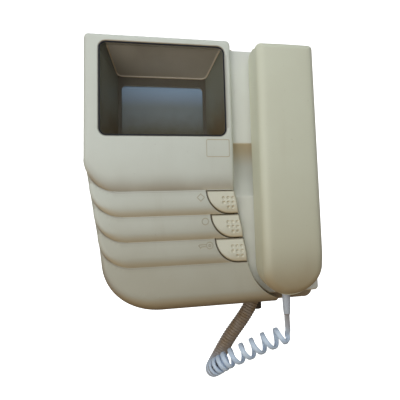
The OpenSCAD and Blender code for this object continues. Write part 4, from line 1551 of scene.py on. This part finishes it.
@dataclass
class Cradle:
    """The cradle: a plate with a finger scoop, two cap recesses and the hook."""

    line: CradleLine
    right: float
    top: float
    foot: float
    face: float
    handset_x: float
    hook_z: float
    corner: float = 4.0
    back: float = -45.25
    scoop_z: float = 1.9
    scoop_height: float = 49.0
    scoop_depth: float = 12.0
    scoop_width: float = 35.7
    cap_spread: float = 72.0
    recess: float = 23.0
    recess_depth: float = 6.5
    hook_hole: float = 4.2
    edge_lip: tuple[float, float] = (2.4, 2.0)
    seam_lip: tuple[float, float] = (1.0, 0.7)
    recess_lip: tuple[float, float] = (1.2, 0.8)
    hook_lip: tuple[float, float] = (0.8, 0.6)
    # Painted shade along the outline and in the scoop.
    edge_shade: tuple[float, float] = (1.2, 0.12)
    scoop_shade: float = 0.16
    scoop_blend: float = 0.8
    scoop_inset: float = 0.08
    scoop_wall: float = 0.6
    recess_wall: float = 0.5
    scoop_margins: tuple[float, ...] = (-2.6, -1.6, -0.9, -0.3, 0.3, 0.9, 1.6, 2.4)
    wall_margins: tuple[float, ...] = (-0.65, -0.3, 0.05)
    recess_margins: tuple[float, ...] = (-0.52, -0.02, 0.1, 0.5, 1.0, 1.4)
    hook_margins: tuple[float, ...] = (0.2, 0.5, 0.9)
    rim_margins: tuple[float, ...] = (0.25, 0.6, 1.1, 1.7, 2.5)

    def outline(self) -> Points:
        """The cradle's outline, anticlockwise from its lower right corner.

        Returns:
            The closed outline's points.
        """
        line, c = self.line, self.corner
        parts = [arc((self.right - c, self.foot + c), c, 270, 360, 8),
                 arc((self.right - c, self.top - c), c, 0, 90, 8),
                 self.seam(), [[line.at(line.flare[1]), line.flare[1]]],
                 line.bow(0.0, self.foot, line.flare[1])[::-1][1:]]
        return np.vstack(parts)

    def seam(self) -> Points:
        """The straight edge against the cover above the keys."""
        return np.array([[self.line.x, self.top], [self.line.x, self.line.seam]])

    def height(self, p: Points) -> np.ndarray:
        """The depth Y of the cradle's face.

        Args:
            p: the points.

        Returns:
            The depth of each point.
        """
        half = self.scoop_height / 2
        r = (half ** 2 + self.scoop_depth ** 2) / (2 * self.scoop_depth)
        up = p[:, 1] - self.scoop_z
        bowl = np.sqrt(np.maximum(r * r - up ** 2, 0)) - (r - self.scoop_depth)
        blend = 0.5 * (bowl + np.sqrt(bowl ** 2 + self.scoop_blend)) - self.scoop_inset
        wall = np.clip((self.line.x + self.scoop_width - p[:, 0]) / self.scoop_wall, 0, 1)
        deep = np.where(np.abs(up) < half + 2.5, np.maximum(blend, 0), 0) * wall
        for side in (-1, 1):
            reach = np.hypot(p[:, 0] - self.handset_x, p[:, 1] - side * self.cap_spread)
            well = np.clip((self.recess - reach) / self.recess_wall, 0, 1) * self.recess_depth
            lip = rolled(np.abs(reach - self.recess), *self.recess_lip)
            deep = np.maximum(deep, np.maximum(well, np.where(reach >= self.recess, lip, 0)))
        collar = np.hypot(p[:, 0] - self.handset_x, p[:, 1] - self.hook_z)
        deep = np.maximum(deep, rolled(collar - self.hook_hole, *self.hook_lip))
        edge = rolled(away(p, self.outline()), *self.edge_lip)
        beside = away(p, self.seam(), False)
        edge = np.where(beside < self.edge_lip[0], rolled(beside, *self.seam_lip), edge)
        return self.face + np.maximum(deep, edge)

    def grime(self, p: Points) -> np.ndarray:
        """Painted shade: brown below the scoop's upper edge, which faces down, and faintly along
        the outline.

        Args:
            p: the points.

        Returns:
            A share from 0 to 1 for each point.
        """
        half = self.scoop_height / 2
        up = (p[:, 1] - self.scoop_z) / half
        in_scoop = (np.abs(up) < 1) & (p[:, 0] < self.line.x + self.scoop_width)
        film_and_shade = np.where(in_scoop, np.clip((up + 0.3) / 1.3, 0, 1), 0)
        reach, share = self.edge_shade
        edge = fading(away(p, self.outline()), reach) * share
        return np.maximum(film_and_shade * self.scoop_shade, edge)

    def build(self, material: bpy.types.Material) -> bpy.types.Object:
        """Makes the cradle.

        Args:
            material: its finish.

        Returns:
            The cradle.
        """
        outer = self.outline()
        hook = (self.handset_x, self.hook_z)
        hole = arc(hook, self.hook_hole, 0, 345, 23)
        half = self.scoop_height / 2
        x1 = self.line.x + self.scoop_width
        heights = [self.scoop_z + s * (half + m) for s in (-1, 1) for m in self.scoop_margins]
        rows = [np.array([[self.line.x, z], [x1 + 1, z]]) for z in heights]
        rows += [np.array([[x1 + m, self.scoop_z - half - 1], [x1 + m, self.scoop_z + half + 1]])
                 for m in self.wall_margins]
        rings = [arc((self.handset_x, s * self.cap_spread), self.recess + m, 0, 355, 71)
                 for s in (-1, 1) for m in self.recess_margins]
        rings += [arc(hook, self.hook_hole + m, 0, 345, 23) for m in self.hook_margins]
        rims = [inset(outer, m) for m in self.rim_margins]
        rows = [resample(line, 1.6, closed=False) for line in rows]
        shell = Relief(outer, self.height, self.back, holes=[hole[::-1]],
                       rows=rows + rings + rims, spacing=2.8, grime=self.grime,
                       open_back=True).build("handset_cradle_shell")
        return mount(shell, material, Body.BASE, "handset_cradle")


# ---------- handset ----------


@dataclass
class Handset:
    """The handset's front shell: soft edges, and a lower end that curves back."""

    x: float
    face: float
    width: float = 52.0
    length: float = 218.0
    skirt: float = 28.5
    edge_lip: tuple[float, float] = (7.5, 6.5)
    crown: float = 0.6
    top_corner: float = 4.5
    nose_length: float = 40.0
    nose_depth: float = 12.0
    # Painted shade over the lower end and along the right edge.
    end_shade: tuple[float, float, float] = (55.0, 1.6, 0.5)
    side_shade: tuple[float, float] = (3.0, 0.1)
    row_margins: tuple[float, ...] = (0.08, 0.25, 0.5, 0.9, 1.4, 2.0, 2.8, 3.7, 4.8, 6.0, 7.6)

    def outline(self) -> Points:
        """The outline, anticlockwise from the upper left corner.

        Returns:
            The closed outline's points.
        """
        half, c, end = self.width / 2, self.top_corner, self.length / 2
        return np.vstack([
            arc((self.x - half + c, end - c), c, 90, 180, 10),
            arc((self.x, -end + half), half, 180, 360, 56),
            arc((self.x + half - c, end - c), c, 0, 90, 10)])

    def height(self, p: Points) -> np.ndarray:
        """The depth Y of the shell's face.

        Args:
            p: the points.

        Returns:
            The depth of each point.
        """
        low = -self.length / 2 + self.nose_length
        r = (self.nose_length ** 2 + self.nose_depth ** 2) / (2 * self.nose_depth)
        nose = r - np.sqrt(r * r - np.clip(low - p[:, 1], 0, self.nose_length) ** 2)
        crown = self.crown * ((p[:, 0] - self.x) / (self.width / 2)) ** 2
        edge = rolled(away(p, self.outline()), *self.edge_lip)
        return self.face + nose + edge + crown

    def grime(self, p: Points) -> np.ndarray:
        """A light painted shade along the right edge and over the lower end, which curves back.

        Args:
            p: the points.

        Returns:
            A share from 0 to 1 for each point.
        """
        start, bend, share = self.end_shade
        end = np.clip((-start - p[:, 1]) / start, 0, 1) ** bend * share
        reach, share = self.side_shade
        inward = p[:, 0] - self.x - self.width / 2 + reach
        return np.maximum(end, np.clip(inward / reach, 0, 1) * share)

    def build(self, material: bpy.types.Material) -> bpy.types.Object:
        """Makes the front shell.

        Args:
            material: its finish.

        Returns:
            The shell.
        """
        outer = self.outline()
        rows = [inset(outer, m) for m in self.row_margins]
        shell = Relief(outer, self.height, self.face + self.skirt, rows=rows, spacing=2.6,
                       grime=self.grime, open_back=True).build("handset_front_skin", 50)
        return mount(shell, material, Body.HANDSET, "handset_front_shell")


# ---------- window ----------


@dataclass
class Window:
    """What the window shows: its seal, the hood's collar and edges, and the screen."""

    centre: tuple[float, float]
    tube: tuple[float, float]
    size: tuple[float, float]
    seal_face: float = -67.95
    hood_front: float = -63.8
    hood_back: float = -29.85
    tube_size: tuple[float, float] = (88.0, 68.0)
    picture: tuple[float, float] = (80.0, 61.0)
    tube_face: float = -28.0
    crown: float = 1.7
    mouth_sides: tuple[float, float] = (-48.8, 51.6)
    mouth_top: float = 40.2
    throat_half: float = 43.4
    throat_foot: float = 99.6
    edge_bend: float = 5.0
    edge_bead: float = 1.3
    tube_corner: float = 7.0
    tube_bend: float = 2.2
    tube_thick: float = 3.4
    seal_insets: tuple[float, float] = (0.4, 2.4)
    seal_corners: tuple[float, float] = (6.3, 5.3)
    seal_thick: float = 0.7
    collar_inset: float = 2.2
    collar_corner: float = 5.4

    def picture_face(self, material: bpy.types.Material) -> bpy.types.Object:
        """Makes the crowned glass of the picture tube.

        Args:
            material: its finish.

        Returns:
            The glass.
        """
        x, z = self.tube
        outer = round_rect(self.tube, *self.tube_size, self.tube_corner)

        def height(p: Points) -> np.ndarray:
            """The crowned face of the glass.

            Args:
                p: the points.

            Returns:
                The depth Y of each point.
            """
            across = np.clip(np.abs(p[:, 0] - x) / (self.picture[0] / 2), 0, 1)
            up = np.clip(np.abs(p[:, 1] - z) / (self.picture[1] / 2), 0, 1)
            bend = self.tube_bend
            return self.tube_face - self.crown * (1 - across ** bend) * (1 - up ** bend)

        glass = Relief(outer, height, self.tube_face + self.tube_thick, spacing=3.0,
                       edge_step=2.5).build("picture_face")
        return mount(glass, material, Body.BASE, "tube_faceplate")

    def seal(self, material: bpy.types.Material) -> bpy.types.Object:
        """Makes the slim black seal between the cover and the pane.

        Args:
            material: its finish.

        Returns:
            The seal.
        """
        outer, inner = (round_rect(self.centre, *(side - margin for side in self.size), corner)
                        for margin, corner in zip(self.seal_insets, self.seal_corners))
        ring = Relief(outer, lambda p: np.full(len(p), self.seal_face),
                      self.seal_face + self.seal_thick, holes=[inner[::-1]],
                      spacing=2.0).build("window_seal")
        return mount(ring, material, Body.BASE, "window_gasket")

    def collar(self, material: bpy.types.Material) -> bpy.types.Object:
        """Makes the hood's rim, which holds the pane's edge behind the seal.

        Args:
            material: its finish.

        Returns:
            The collar.
        """
        loop = round_rect(self.centre, *(side - self.collar_inset for side in self.size),
                          self.collar_corner)
        depths = (self.seal_face + 0.6, self.hood_front + 0.4)
        draft = Draft()
        draft.tube(np.stack([np.insert(loop, 1, y, axis=1) for y in depths]), caps=False)
        return mount(draft.build("hood_collar", 60), material, Body.BASE)

    def hood_edges(self, material: bpy.types.Material) -> bpy.types.Object:
        """Makes thin pale beads along the edges inside the hood: painted highlights where those
        edges catch the light.

        Args:
            material: its finish.

        Returns:
            The edges, as one piece.
        """
        x, z = self.centre
        left, right = (np.array([x + side, self.hood_front + 0.8, z + self.mouth_top])
                       for side in self.mouth_sides)
        low_left, low_right = (
            np.array([self.tube[0] + side, self.hood_back - 0.1, self.throat_foot])
            for side in (-self.throat_half, self.throat_half))
        path = [left]
        for before, bend, after in ((left, low_left, low_right), (low_left, low_right, right)):
            a, b = (bend + (end - bend) / np.linalg.norm(end - bend) * self.edge_bend
                    for end in (before, after))
            path += [a * (1 - t) ** 2 + bend * 2 * t * (1 - t) + b * t * t
                     for t in np.linspace(0, 1, 7)]
        draft = Draft()
        draft.tube(bead(np.array([*path, right]), self.edge_bead, False))
        return mount(draft.build("hood_edges", 60), material, Body.BASE)


# ---------- cord ----------


@dataclass
class CurlyCord:
    """The flat strand that curls from the housing's foot up to the handset."""

    route: list[tuple[float, float, float, float, float]]
    gauge: float = 3.0
    thick: float = 2.3
    curl: float = 5.75
    sides: int = 12
    steps: int = 20
    squareness: float = 0.8
    shade_and_soil: tuple[tuple[float, float], ...] = ((0, 0.8), (1.6, 0.72), (2.2, 0.64), (5.5, 0.54),
                                             (7, 0.38), (8.2, 0.16), (10, 0.03), (17, 0.0),
                                             (18.5, 0.34), (21, 0.42))
    band: tuple[tuple[float, float], ...] = ((0, 2.75), (8.6, 2.75), (10, 3.5), (11, 4.3),
                                             (17, 4.3), (18, 5.0), (21, 5.0))
    closed: tuple[tuple[float, float], ...] = ((0, 1.0), (8.5, 1.0), (10, 0.0))

    def _at(self, u: float) -> tuple[np.ndarray, float, float]:
        """The route's point, curl share and turns at a place along it.

        Args:
            u: the place: a row of the route, and a share of the next step.

        Returns:
            The point, the share of the curl's radius, and the turns.
        """
        last = len(self.route) - 1
        i = min(last - 1, int(u))
        t = u - i
        a, b, c, d = (np.array(self.route[k]) for k in
                      (max(0, i - 1), i, i + 1, min(last, i + 2)))
        s = 0.5 * (2 * b + (c - a) * t + (2 * a - 5 * b + 4 * c - d) * t * t
                   + (3 * b - a - 3 * c + d) * t ** 3)
        share = b[3] + (c[3] - b[3]) * t * t * (3 - 2 * t)
        return s[:3], float(share), float(s[4])

    def _out(self, u: float) -> np.ndarray:
        """The direction from the route to the strand.

        Args:
            u: the place along the route.

        Returns:
            The direction, of length 1.
        """
        last = len(self.route) - 1
        t = self._at(min(u + 0.02, last))[0] - self._at(max(0, u - 0.02))[0]
        t /= np.linalg.norm(t)
        side = np.cross(t, [1, 0, -1])
        side /= np.linalg.norm(side)
        angle = self._at(u)[2] * 2 * math.pi
        return side * math.cos(angle) - np.cross(side, t) * math.sin(angle)

    def places(self) -> list[float]:
        """Where along the route the rings lie: close in a curl, wide where straight.

        Returns:
            The places.
        """
        found = []
        for i in range(len(self.route) - 1):
            turns = self.route[i + 1][4] - self.route[i][4]
            parts = max(3, round(turns * self.steps))
            found += [i + k / parts for k in range(parts)]
        return found + [float(len(self.route) - 1)]

    def grime(self, places: Sequence[float]) -> np.ndarray:
        """How brown the strand is: dirt and painted shade where it is closed and near the
        handset, clean where it is open.
        """
        return np.interp(places, *np.array(self.shade_and_soil).T)

    def build(self, material: bpy.types.Material) -> bpy.types.Object:
        """Args:
            material: its finish.

        Returns:
            The cord.
        """
        places = self.places()
        middle = np.array([self._at(u)[0] + self._out(u) * self.curl * self._at(u)[1]
                           for u in places])
        along = np.gradient(middle, axis=0)
        along /= np.linalg.norm(along, axis=1)[:, None]
        out = np.array([self._out(u) for u in places])
        out -= along * (out * along).sum(1)[:, None]
        out /= np.linalg.norm(out, axis=1)[:, None]
        side = np.cross(along, out)
        wide = np.interp(places, *np.array(self.band).T)
        closed = np.interp(places, *np.array(self.closed).T)
        worn, rings = [], []
        for a in np.linspace(0, 2 * math.pi, self.sides, endpoint=False):
            c, s = math.cos(a), math.sin(a)
            through = math.copysign(abs(c) ** self.squareness, c) * self.thick / 2
            across = math.copysign(abs(s) ** self.squareness, s) * wide / 2
            rings.append(middle + out * through + side * across[:, None])
            # Painted shadow on the sides of closed turns, where they touch.
            worn.append(np.maximum(self.grime(places), closed * s ** 4))
        draft = Draft()
        draft.tube(np.stack(rings, 1))
        draft.worn = np.stack(worn, 1).ravel().tolist()
        cord = dress(draft.build("curly_cord_strand", 60), material)
        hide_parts("curly_cord")
        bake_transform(cord)
        return cord


@dataclass
class CordSleeve:
    """A turned sleeve or boot that keeps the cord from kinking at one of its ends."""

    node: str
    slot: str
    body: Body
    place: tuple[float, float]
    foot: float
    profile: tuple[tuple[float, float], ...]
    shade_and_soil: float = 0.0
    sides: int = 48
    shadow_ring: float = 0.7

    def build(self, name: str, material: bpy.types.Material) -> bpy.types.Object:
        """Makes the piece, with a painted shadow ring where its lower end closes on the cord.

        Args:
            name: its name.
            material: its finish.

        Returns:
            The piece.
        """
        turn = np.linspace(0, 2 * math.pi, self.sides, endpoint=False)
        rings = [np.stack([r * np.cos(turn), r * np.sin(turn), np.full(self.sides, height)], 1)
                 for r, height in self.profile]
        draft = Draft()
        draft.tube(np.array(rings) + (*self.place, self.foot))
        piece = draft.build(name, 50)
        # Painted shadow: the lowest ring of the sleeve turns dark.
        ring = (self.foot + min(z for _, z in self.profile) + self.shadow_ring) * MM
        worn = [1.0 if v.co.z < ring else self.shade_and_soil for v in piece.data.vertices]
        piece.data.attributes["grime"].data.foreach_set("value", worn)
        return mount(piece, material, self.body, self.node)


# ---------- stage ----------


@dataclass(frozen=True)
class Lamp:
    """A square soft light: metres, watts and a linear colour."""

    name: str
    place: tuple[float, float, float]
    target: tuple[float, float, float]
    size: float
    power: float
    colour: Colour
    mirrored: bool = True

    def build(self) -> bpy.types.Object:
        """Makes the light.

        Returns:
            The light.
        """
        data = bpy.data.lights.new(self.name, "AREA")
        data.size, data.energy, data.color = self.size, self.power, self.colour
        obj = bpy.data.objects.new(self.name, data)
        obj.location = self.place
        ahead = Vector(self.target) - Vector(self.place)
        obj.rotation_euler = ahead.to_track_quat("-Z", "Y").to_euler()
        obj.visible_glossy = self.mirrored
        bpy.context.scene.collection.objects.link(obj)
        return obj


@dataclass
class Stage:
    """A pale sweep behind and under the monitor, and soft studio light, in metres."""

    floor: float = -0.33
    wall: float = 0.55
    bend: float = 0.3
    reach: float = 3.0
    above: Colour = (1.12, 1.2, 1.24)
    below: Colour = (0.42, 0.33, 0.23)
    strength: float = 0.37
    lamps: tuple[Lamp, ...] = (
        Lamp("key_light", (-0.08, -0.46, 0.28), (0, 0, 0.05), 0.4, 0.62, (0.94, 0.975, 1.0),
             mirrored=False),
        Lamp("left_fill", (-0.65, -0.72, -0.12), (0, 0, 0), 0.7, 2.8, (1.0, 0.985, 0.93)))

    def sweep(self) -> bpy.types.Object:
        """Makes the floor that curves up into a backdrop.

        Returns:
            The sweep.
        """
        draft = Draft()
        profile = [(-self.reach, self.floor), (self.wall - self.bend, self.floor)]
        for a in np.radians(np.linspace(-90, 0, 13)):
            profile.append((self.wall - self.bend + self.bend * math.cos(a),
                            self.floor + self.bend + self.bend * math.sin(a)))
        profile.append((self.wall, self.reach))
        rows = [[(x / MM, y / MM, z / MM) for y, z in profile]
                for x in (-self.reach, self.reach)]
        n = len(profile)
        draft.add(rows[0] + rows[1], [(k, k + 1, n + k + 1, n + k) for k in range(n - 1)])
        obj = dress(draft.build("studio_sweep", 60), self._paper())
        for flag in ("visible_diffuse", "visible_glossy", "visible_shadow"):
            setattr(obj, flag, False)
        return obj

    @staticmethod
    def _paper() -> bpy.types.Material:
        """Matt white paper, lit from itself so that it stays even.

        Returns:
            The material.
        """
        s = Surface("studio_paper")
        tone = s.ramp(s.noise(s.where(), 3.0), 0.3, 0.7, 0.97, 1.0)
        colour = s.node("CombineColor", {0: tone, 1: tone, 2: tone}).outputs[0]
        return s.finish(Base_Color=colour, Roughness=1.0, Emission_Color=(1, 1, 1, 1),
                        Emission_Strength=1.1)

    def sky(self) -> None:
        """Sets soft light from all round: cool above, brown and weak below."""
        world = bpy.data.worlds.new("studio")
        bpy.context.scene.world = world
        world.use_nodes = True
        s = Shader(world.node_tree)
        up = s.part(s.node("TexCoord").outputs["Generated"], "Z")
        colour = s.mix(s.ramp(up, -0.55, 0.75), (*self.below, 1), (*self.above, 1))
        s.feed(world.node_tree.nodes["Background"],
               {"Color": colour, "Strength": self.strength})

    def build(self) -> None:
        """Makes the sweep, the sky and the lights."""
        self.sweep()
        self.sky()
        for lamp in self.lamps:
            lamp.build()
        bpy.context.scene.view_settings.view_transform = "Standard"


@dataclass
class Eye:
    """The camera: where it stands and how it is turned."""

    place: tuple[float, float, float] = (-33.5, -328.0, -31.0)
    focal: float = 27.0
    sensor: float = 36.0
    nearest: float = 0.01
    turn: float = -8.94
    tilt: float = -4.03
    roll: float = -1.65
    shift: tuple[float, float] = (-0.0375, -0.0375)

    def build(self) -> bpy.types.Object:
        """Makes the camera and sets it as the scene's own.

        Returns:
            The camera.
        """
        data = bpy.data.cameras.new("front_view")
        data.lens, data.sensor_width = self.focal, self.sensor
        data.shift_x, data.shift_y = self.shift
        data.clip_start = self.nearest
        turn, tilt, roll = (math.radians(a) for a in (self.turn, self.tilt, self.roll))
        view = (Matrix.Rotation(roll, 3, "Z") @ Matrix.Rotation(tilt, 3, "X")
                @ Matrix.Rotation(turn, 3, "Y"))
        right, down, ahead = (Vector((row[0], row[2], -row[1])) for row in view)
        obj = bpy.data.objects.new("front_view", data)
        obj.matrix_world = Matrix.Translation(Vector(self.place) * MM) @ Matrix(
            (right, -down, -ahead)).transposed().to_4x4()
        bpy.context.scene.collection.objects.link(obj)
        bpy.context.scene.camera = obj
        return obj


# ---------- the whole ----------


class Finish(Enum):
    """The finishes, by the record's slots."""

    ivory_abs = MouldedPlastic("ivory_plastic", (229, 234, 226), (186, 182, 165),
                               (92, 60, 28), ageing=0.2, low=1.0)
    cradle_abs = MouldedPlastic("cradle_plastic", (236, 239, 233), (216, 214, 203),
                                (186, 160, 120), low=0.4)
    handset_abs = MouldedPlastic("handset_plastic", (229, 232, 212), (202, 196, 170),
                                 (124, 96, 60), ageing=0.2, low=0.9)
    key_abs = MouldedPlastic("key_plastic", (232, 230, 213), (224, 219, 198), (120, 98, 66))
    # foot=1.0 paints shade: brown towards the housing's bottom edge, where its foot faces down.
    housing_abs = MouldedPlastic("housing_plastic", (222, 218, 200), (210, 200, 174),
                                 (132, 104, 70), foot=1.0, roughness=0.55, depth=0.12)
    smoked_acrylic = SmokedPane("smoked_pane", (16, 15, 20))
    seal_rubber = Speckled("seal_rubber", (24, 26, 36), (34, 36, 48), bump=0.05)
    # The first colour is painted light on the hood's top inside; the wall and back colours are
    # painted shade.
    hood_plastic = HoodPlastic("hood_plastic", (208, 199, 183), (138, 140, 126),
                               (114, 92, 54), (106, 100, 86), ((-76.8, 0.121), (-2.3, -0.291)))
    # Painted reflection: grey-blue at the top, brown low down.
    tube_glass = TubeGlass("tube_glass", (148, 174, 202), (122, 130, 131), (96, 89, 62),
                           (34.0, 66.0, 90.0))
    funnel_glass = Speckled("funnel_graphite", (40, 42, 46), (62, 64, 66), bump=0.2)
    dark_plastic = MouldedPlastic("dark_plastic", (38, 39, 42), (48, 46, 44), ageing=0.3)
    copper_wire = Speckled("enamelled_copper", (164, 96, 52), (96, 48, 26),
                           (40.0, 40.0, 2400.0), roughness=0.35)
    board_paper = Speckled("board_paper", (138, 122, 66), (112, 98, 50), bump=0.04)
    bracket_steel = Metal("zinc_plate", (190, 194, 198), (150, 152, 150))
    screw_steel = Metal("screw_steel", (176, 180, 184), (120, 120, 118), 0.3)
    sink_aluminium = Metal("sink_aluminium", (176, 178, 180), (140, 142, 144), 0.42)
    capacitor_sleeve = Speckled("capacitor_sleeve", (36, 52, 84), (26, 40, 66), bump=0.03,
                                roughness=0.35)
    terminal_green = Speckled("terminal_green", (74, 126, 88), (62, 108, 74), roughness=0.45)
    speaker_steel = Metal("speaker_steel", (70, 72, 76), (50, 50, 52), 0.5)
    plunger_acetal = Speckled("plunger_acetal", (212, 208, 198), (196, 190, 176),
                              roughness=0.35, bump=0.02)
    spring_steel = Metal("spring_steel", (176, 180, 184), (130, 132, 134), 0.25)
    ballast_steel = Metal("ballast_steel", (124, 126, 130), (92, 84, 76), 0.5)
    # The third colour is dirt and painted shade on the closed coil; the fourth is painted shadow
    # between touching turns.
    cord_vinyl = CordVinyl("cord_vinyl", (221, 236, 255), (210, 228, 252), (150, 126, 98),
                           (64, 46, 30))


# Near-white plastic for the hood's edge beads: a painted highlight.
EDGE_HIGHLIGHT_PLASTIC = MouldedPlastic("hood_edge_plastic", (250, 240, 226), (236, 224, 208))
# Darker than the cover's plastic: painted shade that stands in for the raised marks' own
# shading.
SHADED_MARK_PLASTIC = MouldedPlastic("mark_plastic", (216, 212, 197), (170, 163, 142), low=1.0)
BOOT_RUBBER = Speckled("boot_rubber", (62, 48, 34), (44, 34, 26))

SLEEVE_PROFILE = ((3.0, 17.0), (3.6, 17.0), (3.45, 9.0), (3.15, 0.0), (2.85, -3.6),
                  (2.7, -4.4), (2.2, -4.5), (2.0, -2.5))
BOOT_PROFILE = ((3.0, 0.0), (5.0, 0.0), (5.0, -4.3), (7.6, -4.35), (7.6, -5.2), (5.4, -5.6),
                (5.2, -12.0), (5.1, -18.6), (4.2, -18.9), (3.0, -14.0))


@dataclass
class Monitor:
    """The whole monitor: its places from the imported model, and its sub-assemblies."""

    front: float = -68.0
    window_size: tuple[float, float] = (110.0, 83.0)
    window_corner: float = 6.5
    tube_offset: tuple[float, float] = (-1.4, -13.2)
    flare_offset: tuple[float, float] = (-27.0, 46.0)
    key_width: float = 25.0
    key_drop: float = 0.3
    boot_shift: float = 2.6
    softened: tuple[tuple[str, float], ...] = (
        ("rear_housing", 0.8), ("handset_back_shell", 0.8), ("wall_bracket", 0.3),
        ("receiver_cap", 0.3), ("microphone_cap", 0.3))
    materials: dict[str, bpy.types.Material] = field(default_factory=dict)

    @staticmethod
    def corners(node: str) -> tuple[Vector, Vector]:
        """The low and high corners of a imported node, in millimetres."""
        low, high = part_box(node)
        return low / MM, high / MM

    def places(self) -> None:
        """Takes the sizes that the sub-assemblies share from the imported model."""
        cover, cradle = self.corners("front_cover"), self.corners("handset_cradle")
        shell, pane = self.corners("handset_front_shell"), self.corners("window_pane")
        hook = self.corners("hook_plunger")
        self.panels = Panels(left=cover[0].x, top=cover[1].z, foot=cover[0].z,
                             front=self.front)
        across, up = self.flare_offset
        self.line = CradleLine(cradle[0].x, self.panels.low(0),
                               (cradle[1].x + across, cover[0].z + up))
        nodes = (("monitor_button", Body.MONITOR), ("light_button", Body.LIGHT),
                 ("door_button", Body.DOOR))
        left = cradle[0].x - self.key_width
        self.keys = [Key(node, body, i, (left + i * self.panels.shift,
                                         self.panels.low(i) - self.key_drop))
                     for i, (node, body) in enumerate(nodes)]
        window = (pane[0] + pane[1]) / 2
        self.cover = Cover(self.panels, self.line, self.keys,
                           (window.x, window.z, *self.window_size, self.window_corner))
        self.handset = Handset((shell[0].x + shell[1].x) / 2, shell[0].y)
        self.cradle = Cradle(self.line, cradle[1].x, cradle[1].z, cradle[0].z, cradle[0].y,
                             self.handset.x, (hook[0].z + hook[1].z) / 2)
        relief, entry = (self.corners(end + "_strain_relief") for end in ("handset", "base"))
        middle = (relief[0] + relief[1]) / 2
        self.sleeve = CordSleeve("handset_strain_relief", "cord_vinyl", Body.HANDSET,
                                 (middle.x, middle.y), relief[0].z, SLEEVE_PROFILE, 0.26)
        middle = (entry[0] + entry[1]) / 2
        self.boot = CordSleeve("base_strain_relief", "seal_rubber", Body.BASE,
                               (middle.x + self.boot_shift, middle.y), entry[1].z,
                               BOOT_PROFILE)
        across, up = self.tube_offset
        self.window = Window((window.x, window.z), (window.x + across, window.z + up),
                             self.window_size)

    def build(self) -> None:
        """Builds every sub-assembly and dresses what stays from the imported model."""
        m = self.materials = {f.name: f.value.build() for f in Finish}
        self.report(CurlyCord(CORD_ROUTE).build(m["cord_vinyl"]))
        self.places()
        self.report(self.cover.build(m["ivory_abs"]))
        self.report(Marks(self.panels).build(SHADED_MARK_PLASTIC.build()))
        for key in self.keys:
            self.report(key.build(self.panels, self.line, m["key_abs"]))
        self.report(self.cradle.build(m["cradle_abs"]))
        self.report(self.handset.build(m["handset_abs"]))
        self.report(self.sleeve.build("cord_sleeve", m["cord_vinyl"]))
        self.report(self.boot.build("cord_boot", BOOT_RUBBER.build()))
        self.report(self.window.seal(m["seal_rubber"]))
        self.report(self.window.collar(m["hood_plastic"]))
        self.report(self.window.picture_face(m["tube_glass"]))
        self.report(self.window.hood_edges(EDGE_HIGHLIGHT_PLASTIC.build()))
        self.dress_nodes()

    def dress_nodes(self) -> None:
        """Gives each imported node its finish, and softens the edges that show."""
        slots = {p["node"]: p["material_slot"] for p in frame["record"]["subparts"]}
        for name, obj in frame["nodes"].items():
            dress(obj, self.materials[slots[name]])
            LOG.info("dressed %s as %s", name, slots[name])
        for name, width in self.softened:
            soften(frame["nodes"][name], width)

    @staticmethod
    def report(obj: bpy.types.Object) -> None:
        """Logs a piece that was made."""
        LOG.info("made %s with %d faces", obj.name, len(obj.data.polygons))


CORD_ROUTE = [
    (51, -23, -125, 0.6, 0), (51, -23, -126.2, 0.8, 0.3), (49.7, -23, -128.6, 1, 1.4),
    (40.8, -23, -141.7, 1, 7.2), (32.3, -23, -152, 1, 12.2), (23.8, -23.5, -162.2, 1, 17.2),
    (16.4, -25, -172.4, 1, 22.1), (10, -29, -179.8, 1, 26.2), (5.9, -35.5, -182.2, 1, 29.5),
    (5.2, -42.5, -179.9, 1.04, 32.6), (8.8, -48.5, -174.8, 1.1, 35.3),
    (18.1, -52, -168.5, 1.15, 37.7), (28.1, -56, -163, 1.18, 38.87),
    (37.1, -60, -157.8, 1.2, 39.9), (46.5, -64, -152.3, 1.2, 40.94),
    (56.2, -68.5, -147.2, 1.2, 41.92), (62.2, -71, -145.1, 1.1, 42.5),
    (66.1, -71, -144.9, 0.6, 42.8), (68, -69.5, -141.5, 0, 43), (68, -69, -134, 0, 43),
    (68, -69, -128, 0, 43), (68, -69, -123, 0, 43),
]


def main() -> None:
    """Builds the camera, the cord, the monitor and the stage in order."""
    logging.basicConfig(level=logging.INFO, format="%(name)s: %(message)s")
    Eye().build()
    Monitor().build()
    Stage().build()


if __name__ == "__main__":
    main()
